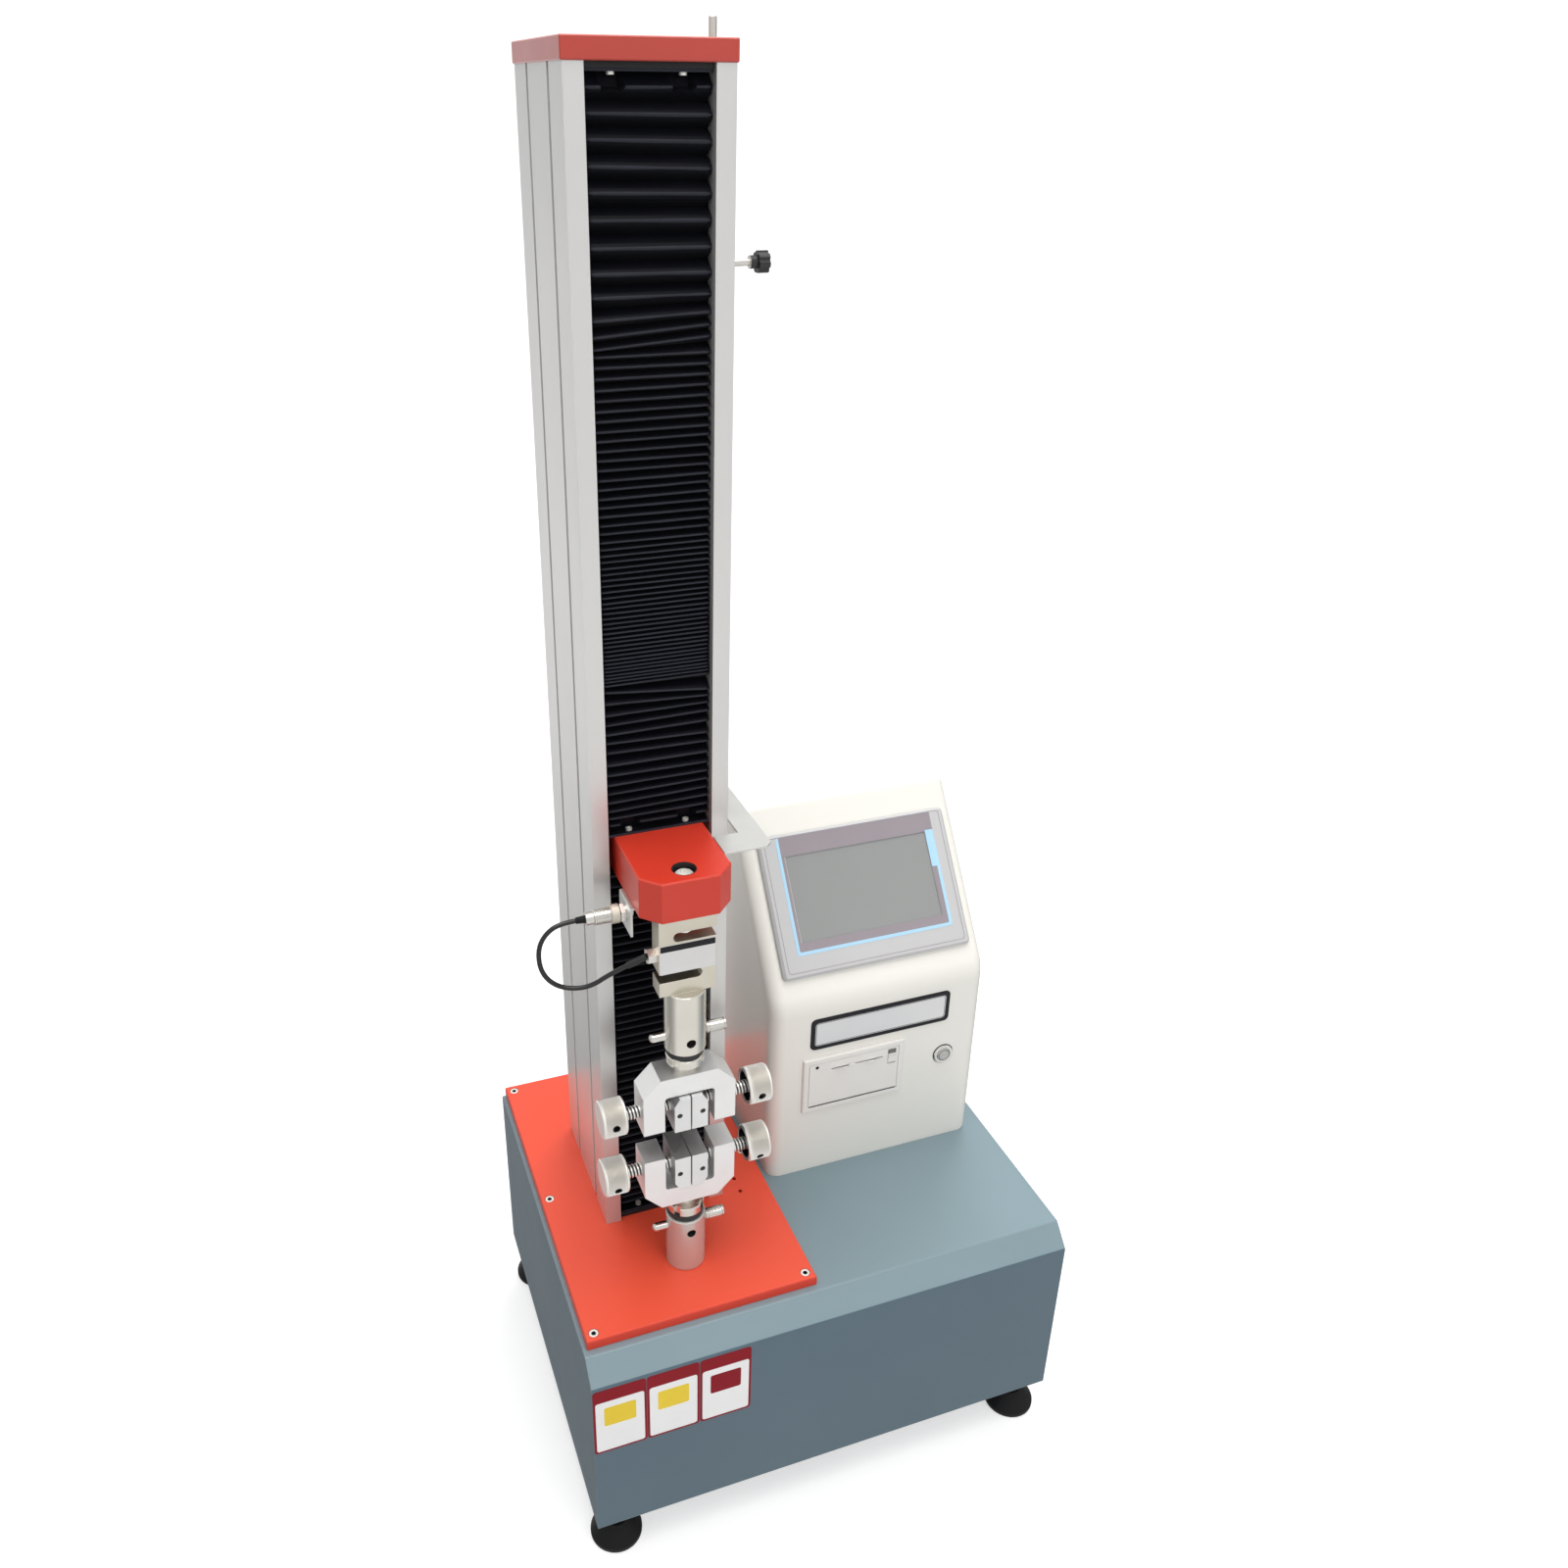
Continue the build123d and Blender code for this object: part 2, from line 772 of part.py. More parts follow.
def make_crosshead_block():
    left_front = crosshead_left + crosshead_chamfer_x
    right_front = crosshead_right - crosshead_chamfer_x
    shoulder = crosshead_front + crosshead_chamfer_y
    outline = Polyline(
        (crosshead_left, carriage_front), (crosshead_left, shoulder), (left_front, crosshead_front),
        (right_front, crosshead_front), (crosshead_right, shoulder), (crosshead_right, carriage_front),
        close=True,
    )
    block = Pos(0, 0, crosshead_bottom) * extrude(make_face(outline), crosshead_height)
    block = chamfer(block.edges().group_by(Axis.Z)[-1], 1.2)
    block = chamfer(block.edges().group_by(Axis.Z)[0], edge_break)
    block -= rod_z(column_x, axis_y, load_bolt_seat, crosshead_top + 1, bolt_well_radius)
    block -= rod_z(column_x, axis_y, crosshead_bottom - 1, crosshead_top, bolt_hole_radius)
    for x, y in bellows_screw_places():
        block -= rod_z(x, y, crosshead_top - block_screw_depth, crosshead_top + 1, bellows_screw[2])
        block -= rod_z(x, y, crosshead_bottom - 1, crosshead_bottom + block_screw_depth, bellows_screw[2])
    return block


def make_crosshead_screws():
    head_top = load_bolt_seat + bolt_head_height
    bolt = rod_z(column_x, axis_y, load_bolt_seat, head_top, bolt_head_radius)
    bolt = chamfer(bolt.edges().group_by(Axis.Z)[-1], 1)
    bolt -= hex_z(column_x, axis_y, head_top - bolt_key_depth, head_top, bolt_key)
    bolt += rod_z(column_x, axis_y, cell_top - cell_top_thread, load_bolt_seat, bolt_radius)
    washer = rod_z(column_x, axis_y, cell_top, crosshead_bottom, washer_radius)
    washer -= rod_z(column_x, axis_y, cell_top - 1, crosshead_bottom + 1, bolt_radius)
    parts = [bolt, washer]
    length = bellows_flange + block_screw_depth - 1
    for x, y in bellows_screw_places():
        parts.append(socket_screw(x, y, crosshead_top + bellows_flange, bellows_screw, length))
        parts.append(socket_screw(x, y, crosshead_bottom - bellows_flange, bellows_screw, length, up=-1))
    return parts


def pleated_strip(z0, z1, folds):
    # Zigzag section with its ridges at the front, drawn in the YZ plane, and run across the channel.
    pitch = (z1 - z0) / folds
    ridge = bellows_front + 0.5
    valley = ridge + bellows_fold
    front = [(ridge, z0)]
    for index in range(folds):
        front.append((valley, z0 + (index + 0.5) * pitch))
        front.append((ridge, z0 + (index + 1) * pitch))
    back = [(y + bellows_skin, z) for y, z in reversed(front)]
    face = make_face(Plane.YZ * Polyline(*front, *back, close=True))
    half = bellows_width / 2
    return Pos(column_x - half, 0, 0) * extrude(face, bellows_width, dir=(1, 0, 0))


def end_flange(z):
    half = bellows_width / 2
    flange = span_box(column_x - half, column_x + half, bellows_front, carriage_front - 2, z,
                      z + bellows_flange)
    for x, y in bellows_screw_places():
        flange -= rod_z(x, y, z - 1, z + bellows_flange + 1, bellows_screw[2])
    return flange


def bellows_between(z0, z1, folds):
    # The folds are cut away round the heads of the flange screws.
    folded = pleated_strip(z0 + bellows_flange, z1 - bellows_flange, folds)
    room_radius = bellows_screw[0] + bellows_screw_room
    room_height = bellows_screw[1] + bellows_screw_room
    for x, y in bellows_screw_places():
        for z in (z0 + bellows_flange, z1 - bellows_flange - room_height):
            folded -= rod_z(x, y, z, z + room_height, room_radius)
    return end_flange(z0) + folded + end_flange(z1 - bellows_flange)


def make_upper_bellows():
    return bellows_between(crosshead_top, column_top - bellows_ledge, upper_fold_count)


def make_lower_bellows():
    return bellows_between(plate_top + bellows_ledge, crosshead_bottom, lower_fold_count)


def make_crosshead_brackets():
    front = connector_y - bracket_width / 2
    back = connector_y + bracket_width / 2
    top = crosshead_bottom
    leaf = span_box(bracket_left, crosshead_left + bracket_seat, front, back, top - bracket_sheet, top)
    drop = span_box(bracket_left, bracket_left + bracket_sheet, front, back, top - bracket_drop, top)
    holder = leaf + drop
    holder -= rod_x(bracket_left - 1, bracket_left + bracket_sheet + 1, connector_y, connector_z,
                    connector_barrel_radius)
    corner = holder.edges().filter_by(Axis.Y).group_by(Axis.X)[0]
    holder = fillet(corner.group_by(Axis.Z)[-1:], bracket_bend)
    return [holder, striker_plate()]


def striker_plate():
    arm_back = striker_front + striker_arm_depth
    end_y = limit_rod_y + stop_depth / 2
    outline = Polyline(
        (crosshead_right, striker_front), (striker_right - striker_corner, striker_front),
        (striker_right, striker_front + striker_corner), (striker_right, end_y), (striker_inner, end_y),
        (striker_inner, arm_back), (crosshead_right, arm_back), close=True,
    )
    level = crosshead_top - striker_sheet
    plate = Pos(0, 0, level) * extrude(make_face(outline), striker_sheet)
    plate += span_box(crosshead_right, crosshead_right + striker_sheet, striker_front, arm_back,
                      crosshead_top - striker_flange_drop, crosshead_top)
    return plate - rod_z(limit_rod_x, limit_rod_y, level - 1, crosshead_top + 1,
                         limit_rod_radius + limit_rod_room)


# Load cell, its connector and cord
def make_load_cell():
    half = cell_width / 2
    cell = span_box(column_x - half, column_x + half, axis_y - cell_depth / 2, axis_y + cell_depth / 2,
                    cell_bottom, cell_top)
    for side in (-1, 1):
        z = cell_mid + side * cell_slot_offset
        end_x = column_x - side * (half - cell_slot_end - cell_slot_height / 2)
        cell -= rod_y(end_x, axis_y - cell_depth, axis_y + cell_depth, z, cell_slot_height / 2)
        mouth_x = column_x + side * (half + 1)
        cell -= span_box(min(end_x, mouth_x), max(end_x, mouth_x), axis_y - cell_depth, axis_y + cell_depth,
                         z - cell_slot_height / 2, z + cell_slot_height / 2)
    cell -= rod_z(column_x, axis_y, cell_top - cell_top_thread, cell_top + 1, bolt_radius)
    return cell - rod_z(column_x, axis_y, cell_bottom - 1, cell_bottom + cell_bottom_thread, bolt_radius)


def make_connector_socket():
    inside = bracket_left + bracket_sheet
    face = bracket_left - connector_flange
    body = rod_x(face, inside + 4, connector_y, connector_z, connector_barrel_radius)
    flange = rod_x(face, bracket_left, connector_y, connector_z, connector_radius + 1)
    nut = hex_x(face - connector_nut_thickness, face, connector_y, connector_z, connector_nut_across)
    return body + flange + nut


def connector_stations():
    # X of each step of the plug, from the bracket outwards.
    nut_end = bracket_left - connector_flange - connector_nut_thickness
    ring_end = nut_end - connector_ring_gap - connector_ring_length
    body_end = ring_end - connector_body_length
    collar_end = body_end - connector_collar_length
    return nut_end, ring_end, body_end, collar_end, collar_end - boot_length


def make_connector_ring():
    nut_end, ring_end, _, _, _ = connector_stations()
    ring = rod_x(nut_end - connector_ring_gap, ring_end, connector_y, connector_z, connector_ring_radius)
    ring = chamfer(ring.edges().filter_by(GeomType.CIRCLE), edge_break)
    return ring - rod_x(nut_end, ring_end - 1, connector_y, connector_z, connector_collar_radius)


def make_connector_plug():
    nut_end, ring_end, body_end, collar_end, boot_end = connector_stations()
    body_start = ring_end - connector_ring_gap
    core = rod_x(nut_end, body_start, connector_y, connector_z, connector_collar_radius - running_fit)
    body = rod_x(body_start, body_end, connector_y, connector_z, connector_radius)
    collar = rod_x(body_end, collar_end, connector_y, connector_z, connector_collar_radius)
    boot = rod_x(collar_end, boot_end, connector_y, connector_z, boot_radius)
    return core + body + collar + boot


gland_mouth = Vector(cell_left - gland_length, axis_y, cell_mid)
sleeve_direction = Vector(-15.9, 3.5, -8).normalized()


def cord_points():
    start = Vector(connector_stations()[-1], connector_y, connector_z)
    end = gland_mouth + sleeve_direction * sleeve_length
    corners = [start + Vector(*corner) for corner in cord_corners]
    return [start, *corners, end + sleeve_direction * cord_last_run, end]


def cord_radii(points):
    radii = []
    for before, corner, after in zip(points, points[1:], points[2:]):
        turn = (corner - before).get_angle(after - corner)
        shorter = min((corner - before).length, (after - corner).length)
        radii.append(0.45 * shorter / math.tan(math.radians(turn / 2)))
    return radii


def make_load_cell_cord():
    points = cord_points()
    radii = cord_radii(points)
    print("cord radii", [round(value, 1) for value in radii])
    path = FilletPolyline(*points, radius=radii)
    start = Plane(origin=points[0], z_dir=points[1] - points[0])
    tube = sweep(start * Circle(cord_radius), path=path)
    print("cord length", round(path.length, 1), "volume", round(tube.volume, 1), "from its length",
          round(math.pi * cord_radius ** 2 * path.length, 1))
    return tube


def make_cord_gland():
    gland = hex_x(gland_mouth.X, cell_left, axis_y, cell_mid, gland_across)
    collar_plane = Plane(origin=gland_mouth, z_dir=sleeve_direction)
    sleeve = collar_plane * extrude(Circle(sleeve_radius), sleeve_length)
    return [gland, sleeve - gland]


# Couplings, the same for the upper and the lower end
def coupling(socket_face, away):
    # socket_face is the level of the socket's open end; away is the direction from socket to grip.
    return {"face": socket_face, "away": away, "pin_z": socket_face - away * pin_inset}


upper_coupling = coupling(upper_socket_bottom, -1)
lower_coupling = coupling(lower_socket_top, 1)


def make_socket(part, closed_end, stud):
    # Cylinder with a blind bore for the shank, a cross hole for the pin and a sight hole in front.
    away = part["away"]
    low, high = level_pair(part["face"], closed_end)
    body = rod_z(column_x, axis_y, low, high, socket_radius)
    body = chamfer(body.edges().filter_by(GeomType.CIRCLE), edge_break)
    bore = level_pair(part["face"] + away, part["face"] - away * (shank_depth + 1))
    body -= rod_z(column_x, axis_y, *bore, shank_radius + shank_fit)
    body -= rod_x(column_x - 2 * socket_radius, column_x + 2 * socket_radius, axis_y, part["pin_z"],
                  pin_radius + pin_fit)
    body -= rod_y(column_x, axis_y - 2 * socket_radius, axis_y, part["pin_z"], sight_hole_radius)
    if stud:
        body += rod_z(column_x, axis_y, *level_pair(closed_end, closed_end - away * stud), bolt_radius)
    return body


def make_shank(part):
    # Shank that the grip screws onto, with the soft band that sits between the lock ring and the socket.
    away = part["away"]
    inner = part["face"] - away * shank_depth
    outer = part["face"] + away * (shank_gap + shank_entry)
    shank = rod_z(column_x, axis_y, *level_pair(inner, outer), shank_radius)
    shank -= rod_x(column_x - 2 * shank_radius, column_x + 2 * shank_radius, axis_y, part["pin_z"],
                   pin_radius + pin_fit)
    band_far = part["face"] + away * band_height
    band = rod_z(column_x, axis_y, *level_pair(part["face"], band_far), band_radius)
    band -= rod_z(column_x, axis_y, *level_pair(part["face"], band_far), shank_radius)
    return [shank, band]


def make_lock_ring(part):
    away = part["away"]
    near = part["face"] + away * (band_height + ring_gap)
    far = near + away * ring_height
    low, high = level_pair(near, far)
    ring = rod_z(column_x, axis_y, low, high, ring_radius)
    ring = chamfer(ring.edges().filter_by(GeomType.CIRCLE), edge_break)
    ring -= rod_z(column_x, axis_y, low - 1, high + 1, shank_radius + shank_fit)
    for quarter in range(4):
        notch = Box(2 * ring_notch_depth, ring_notch_width, ring_height + 2)
        spin = Rot(0, 0, 45 + 90 * quarter)
        ring -= Pos(column_x, axis_y, (low + high) / 2) * spin * Pos(ring_radius, 0, 0) * notch
    return ring


def make_pin(part):
    left = column_x - socket_radius - pin_reach
    head_start = column_x + socket_radius + ring_gap
    pin = rod_x(left, head_start, axis_y, part["pin_z"], pin_radius)
    tip = pin.edges().filter_by(GeomType.CIRCLE).group_by(Axis.X)[0]
    pin = fillet(tip, pin_tip_radius)
    head = rod_x(head_start, head_start + pin_head_length, axis_y, part["pin_z"], pin_head_radius)
    head = chamfer(head.edges().filter_by(GeomType.CIRCLE), edge_break)
    return pin + head


# Grips. Each is drawn with its mouth at z = 0 opening downwards, then placed or turned over.
def grip_body_shape():
    half = grip_width / 2
    outline = Polyline(
        (-half, 0), (-half, grip_height - grip_chamfer_z), (-half + grip_chamfer_x, grip_height),
        (half - grip_chamfer_x, grip_height), (half, grip_height - grip_chamfer_z), (half, 0), close=True,
    )
    body = Pos(0, grip_depth / 2, 0) * extrude(make_face(Plane.XZ * outline), grip_depth, dir=(0, -1, 0))
    slot = Pos(0, 0, grip_slot_depth / 2) * Box(grip_slot_width, grip_depth + 2, grip_slot_depth)
    slot = fillet(slot.edges().filter_by(Axis.Y).group_by(Axis.Z)[-1], grip_slot_corner)
    body -= slot
    body -= rod_x(-half - 1, half + 1, 0, grip_screw_inset, clamp_screw_radius + clamp_screw_fit)
    body -= rod_z(0, 0, grip_height - shank_entry, grip_height + 1, shank_radius)
    return body


def jaw_shape():
    # Left jaw: its gripping face looks towards +X.
    inner = -jaw_half_gap
    outer = inner - jaw_thickness
    outline = Polyline(
        (inner, 0), (inner, jaw_height), (outer + jaw_chamfer_x, jaw_height),
        (outer, jaw_height - jaw_chamfer_z), (outer, 0), close=True,
    )
    jaw = Pos(0, jaw_depth / 2, 0) * extrude(make_face(Plane.XZ * outline), jaw_depth, dir=(0, -1, 0))
    jaw -= rod_x(outer - 1, outer + jaw_pocket_depth, 0, grip_screw_inset,
                 clamp_screw_radius + jaw_pocket_gap)
    jaw -= rod_y(-jaw_hole_offset, -jaw_depth / 2 - 1, 0, grip_screw_inset, jaw_hole_radius)
    return jaw


def knob_shape(hole_turn):
    # Left clamp screw with its cupped hand knob.
    tip = -jaw_half_gap - jaw_thickness + jaw_pocket_depth - jaw_pocket_gap
    knob_inner = -grip_width / 2 - knob_stand_off
    knob_outer = knob_inner - knob_length
    knob = rod_x(knob_outer, knob_inner, 0, grip_screw_inset, knob_radius)
    knob = chamfer(knob.edges().filter_by(GeomType.CIRCLE), 1)
    knob -= rod_x(knob_inner - knob_cup_depth, knob_inner + 1, 0, grip_screw_inset, knob_cup_radius)
    bar_hole = Pos(0, -knob_radius, 0) * Rot(90, 0, 0) * Cylinder(knob_hole_radius, 20)
    bar_hole = Pos((knob_inner + knob_outer) / 2, 0, grip_screw_inset) * Rot(hole_turn, 0, 0) * bar_hole
    knob -= bar_hole
    return knob + rod_x(knob_inner - knob_cup_depth, tip, 0, grip_screw_inset, clamp_screw_radius)


def placed_upper(shape):
    return Pos(column_x, axis_y, upper_mouth) * shape


def placed_lower(shape):
    return Pos(column_x, axis_y, lower_mouth) * mirror(shape, about=Plane.XY)


def to_right(shape):
    return mirror(shape, about=Plane.YZ)


def grip_nodes():
    nodes = {
        "upper_grip_body": placed_upper(grip_body_shape()),
        "lower_grip_body": placed_lower(grip_body_shape()),
        "upper_left_jaw": placed_upper(jaw_shape()),
        "upper_right_jaw": placed_upper(to_right(jaw_shape())),
        "lower_left_jaw": placed_lower(jaw_shape()),
        "lower_right_jaw": placed_lower(to_right(jaw_shape())),
        "upper_left_knob": placed_upper(knob_shape(knob_hole_turn["upper_left"])),
        "upper_right_knob": placed_upper(to_right(knob_shape(knob_hole_turn["upper_right"]))),
        "lower_left_knob": placed_lower(knob_shape(-knob_hole_turn["lower_left"])),
        "lower_right_knob": placed_lower(to_right(knob_shape(-knob_hole_turn["lower_right"]))),
    }
    return nodes


# Limit rod and its stops
def stop_block(bottom, gap, clearance):
    left = column_right + gap
    block = span_box(left, left + stop_width, limit_rod_y - stop_depth / 2, limit_rod_y + stop_depth / 2,
                     bottom, bottom + stop_height)
    block = chamfer(block.edges(), stop_chamfer)
    return block - rod_z(limit_rod_x, limit_rod_y, bottom - 1, bottom + stop_height + 1,
                         limit_rod_radius + clearance)


def make_rod_guides():
    return [stop_block(upper_guide_bottom, 0, running_fit), stop_block(lower_guide_bottom, 0, running_fit)]


def make_limit_rod():
    rod = rod_z(limit_rod_x, limit_rod_y, limit_rod_bottom, limit_rod_top, limit_rod_radius)
    return chamfer(rod.edges().filter_by(GeomType.CIRCLE), 0.4)


def make_upper_stop():
    block = stop_block(upper_stop_bottom, stop_gap, running_fit)
    z = upper_stop_bottom + stop_height / 2
    return block - rod_x(limit_rod_x, column_right + stop_gap + stop_width + 1, limit_rod_y, z,
                         stop_stud_radius + running_fit)


def make_lower_stop():
    block = stop_block(lower_stop_bottom, stop_gap, running_fit)
    z = lower_stop_bottom + stop_height / 2
    back = limit_rod_y + stop_depth / 2
    return block - rod_y(limit_rod_x, back - grub_depth, back + 1, z, grub_radius)


def make_upper_stop_knob():
    face = column_right + stop_gap + stop_width
    z = upper_stop_bottom + stop_height / 2
    stud_end = face + stop_stud_free
    stud = rod_x(stud_end - stop_stud_length, stud_end, limit_rod_y, z, stop_stud_radius)
    collar = rod_x(stud_end, stud_end + stop_collar_length, limit_rod_y, z, stop_collar_radius)
    scallops = PolarLocations(star_radius * 1.08, star_lobes, start_angle=180 / star_lobes)
    star = Circle(star_radius) - scallops * Circle(star_scallop)
    head = Plane(origin=(stud_end + stop_collar_length, limit_rod_y, z), z_dir=(1, 0, 0)) * extrude(
        star, star_length)
    return stud + collar + head


# Console with display, printer and push button
def console_form(inset):
    # The moulding's solid form, with every face moved inwards by inset and the base left open.
    bottom = console_bottom if inset == 0 else console_bottom - 1
    front = console_front + inset
    back = console_back - inset
    top = console_top - inset
    slant = inset * math.tan(slope_angle / 2)
    crest = console_front + console_slope_run + inset * math.tan((math.pi / 2 - slope_angle) / 2)
    outline = Polyline((front, bottom), (back, bottom), (back, top), (crest, top), (front, knee_z - slant),
                       close=True)
    face = make_face(Plane.YZ * outline)
    face = fillet([v for v in face.vertices() if abs(v.Z - knee_z + slant) < 0.01], console_knee_radius)
    face = fillet([v for v in face.vertices() if abs(v.Z - top) < 0.01], console_top_radius)
    half = console_width / 2 - inset
    solid = Pos(console_mid_x - half, 0, 0) * extrude(face, 2 * half, dir=(1, 0, 0))
    sides = [edge for edge in solid.edges() if abs(abs(edge.center().X - console_mid_x) - half) < 0.01
             and edge.center().Z > bottom + 1]
    return fillet(sides, console_corner - inset)


def on_slope(x0, x1, s0, s1, depth0, depth1):
    # Box on the sloping face: x from the display's middle, s up the slope, depth outwards.
    box = Pos((x0 + x1) / 2, (s0 + s1) / 2, (depth0 + depth1) / 2) * Box(x1 - x0, s1 - s0, depth1 - depth0)
    return slope_plane * box


def display_span(width, height, along):
    return -width / 2, width / 2, along - height / 2, along + height / 2


def make_console_shell():
    shell = console_form(0) - console_form(console_wall)
    cut_x, cut_s = display_width - 2 * display_rim, display_height - 2 * display_rim
    shell -= on_slope(*display_span(cut_x, cut_s, display_along), -20, 20)
    inner = printer_border - printer_wall
    shell -= span_box(printer_left + inner, printer_left + printer_width - inner, console_front - 10,
                      console_front + 10, printer_bottom + inner, printer_bottom + printer_height - inner)
    shell -= rod_y(button_x, console_front - 10, console_front + 10, button_z, button_barrel_radius)
    for row in range(vent_count):
        z = console_bottom + console_vent_rise + row * vent_pitch
        shell -= span_box(console_mid_x - vent_length / 2, console_mid_x + vent_length / 2,
                          console_back - 8, console_back + 1, z, z + vent_height)
    return shell


def make_hmi_bezel():
    rim = on_slope(*display_span(display_width, display_height, display_along), 0, display_thickness)
    upright = [edge for edge in rim.edges() if abs(edge.length - display_thickness) < 0.01]
    rim = fillet(upright, display_corner)
    outward = slope_plane.z_dir
    front_face = rim.faces().sort_by(lambda f: f.center().dot(outward))[-1]
    rim = chamfer(front_face.edges(), display_bevel)
    box_x = display_width - 2 * display_rim - 2 * console_fit
    box_s = display_height - 2 * display_rim - 2 * console_fit
    body = on_slope(*display_span(box_x, box_s, display_along), -display_box_depth, 0)
    housing = rim + body
    depth = display_thickness - glass_recess - glass_thickness
    return housing - on_slope(*display_span(window_width, window_height, window_along), depth,
                              display_thickness + 1)


def make_hmi_screen():
    depth = display_thickness - glass_recess - glass_thickness
    return on_slope(*display_span(window_width, window_height, window_along), depth, depth + glass_thickness)


def make_printer_housing():
    right = printer_left + printer_width
    top = printer_bottom + printer_height
    frame_front = console_front - printer_frame_thickness
    frame = span_box(printer_left, right, frame_front, console_front, printer_bottom, top)
    frame = chamfer(frame.faces().sort_by(Axis.Y)[0].edges(), 1)
    inner = printer_border - printer_wall + console_fit
    bay = span_box(printer_left + inner, right - inner, console_front, console_front + printer_bay_depth,
                   printer_bottom + inner, top - inner)
    housing = frame + bay
    room = printer_border
    housing -= span_box(printer_left + room, right - room, frame_front - 1,
                        console_front + printer_bay_depth - printer_wall, printer_bottom + room, top - room)
    pin_y = frame_front + door_thickness / 2
    for x in (printer_left + room, right - room):
        housing += rod_x(x - door_hinge_reach, x + door_hinge_reach, pin_y, door_bottom + door_hinge_rise,
                         door_hinge_radius)
    return housing


def make_printer_door():
    left = printer_left + printer_border + door_gap
    right = printer_left + printer_width - printer_border - door_gap
    y0 = console_front - printer_frame_thickness
    y1 = y0 + door_thickness
    bottom = door_bottom + door_gap
    top = door_bottom + door_height - door_gap
    door = span_box(left, right, y0, y1, bottom, top)
    lower_edges = door.edges().filter_by(Axis.X).group_by(Axis.Z)[0]
    door = fillet(lower_edges, door_corner)
    slot_left = left + paper_slot_inset
    slot_z = printer_bottom + paper_slot_rise
    door -= span_box(slot_left, slot_left + paper_slot_width, y0 - 1, y1 + 1, slot_z,
                     slot_z + paper_slot_height)
    latch_left = right - latch_inset
    recess_top = top - latch_top_inset
    recess_bottom = recess_top - latch_height - latch_travel - 2 * latch_gap
    door -= span_box(latch_left, latch_left + latch_width, y0 - 1, y0 + latch_depth, recess_bottom,
                     recess_top)
    pin_reach_in = door_hinge_reach + door_gap
    for x in (left, right):
        door -= rod_x(x - pin_reach_in, x + pin_reach_in, y0 + door_thickness / 2,
                      door_bottom + door_hinge_rise, door_hinge_radius + door_hinge_fit)
    return door


def make_printer_latch():
    right = printer_left + printer_width - printer_border - door_gap
    top = door_bottom + door_height - door_gap
    y0 = console_front - printer_frame_thickness
    left = right - latch_inset + latch_gap
    high = top - latch_top_inset - latch_gap
    latch = span_box(left, left + latch_width - 2 * latch_gap, y0 - 0.8, y0 + latch_depth - latch_gap,
                     high - latch_height, high)
    for step in range(3):
        z = high - 4 - step * latch_ridge_pitch
        latch -= span_box(left - 1, left + latch_width, y0 - 1, y0 - 0.3, z, z + 1)
    return latch


def make_button_ring():
    face = console_front
    ring = rod_y(button_x, face - button_ring_height, face, button_z, button_ring_radius)
    ring = chamfer(ring.edges().filter_by(GeomType.CIRCLE).group_by(Axis.Y)[0], edge_break)
    ring += rod_y(button_x, face, face + button_barrel_length, button_z, button_barrel_radius - inlet_fit)
    return ring - rod_y(button_x, face - button_ring_height - 1, face + button_barrel_length - button_floor,
                        button_z, button_radius + running_fit)


def make_push_button():
    front = console_front - button_ring_height - button_stand
    back = console_front + button_barrel_length - button_floor - button_travel - 0.5
    button = rod_y(button_x, front, back, button_z, button_radius)
    return chamfer(button.edges().filter_by(GeomType.CIRCLE).group_by(Axis.Y)[0], 0.6)


# Power inlet and rocker switch behind the back panel
def back_panel_frame(x, width, height, flange, wall):
    # Snap-in housing open at the back, with its flange inside the cabinet's back panel.
    y1 = cabinet_back - 0.3
    y0 = y1 - inlet_depth
    flange_y = cabinet_back - cabinet_sheet
    half_x = width / 2
    half_z = height / 2
    low = inlet_z - half_z
    high = inlet_z + half_z
    body = span_box(x - half_x + inlet_fit, x + half_x - inlet_fit, y0, y1, low + inlet_fit,
                    high - inlet_fit)
    body += span_box(x - half_x - flange, x + half_x + flange, flange_y - inlet_rim, flange_y,
                     low - inlet_rim, high + inlet_rim)
    inset = inlet_fit + wall
    return body - span_box(x - half_x + inset, x + half_x - inset, y0 + inlet_floor, y1 + 1, low + inset,
                           high - inset)


def make_power_inlet():
    # Inlet housing with its three blades pressed through the floor, and the switch's frame beside it.
    body = back_panel_frame(inlet_x, inlet_width, inlet_height, inlet_flange, inlet_wall)
    y0 = cabinet_back - inlet_depth - blade_tail
    blades = []
    for dx, dz in blade_places:
        x, z = inlet_x + dx, inlet_z + dz
        blades.append(span_box(x - blade_width / 2, x + blade_width / 2, y0, cabinet_back - blade_inset,
                               z - blade_height / 2, z + blade_height / 2))
        body -= blades[-1]
    frame = back_panel_frame(switch_x, switch_width, switch_height, inlet_rim, switch_wall)
    frame -= rod_x(switch_x - switch_width, switch_x + switch_width, cabinet_back - switch_pivot_depth,
                   inlet_z, switch_pin_radius + pin_fit)
    return [body, *blades, frame]


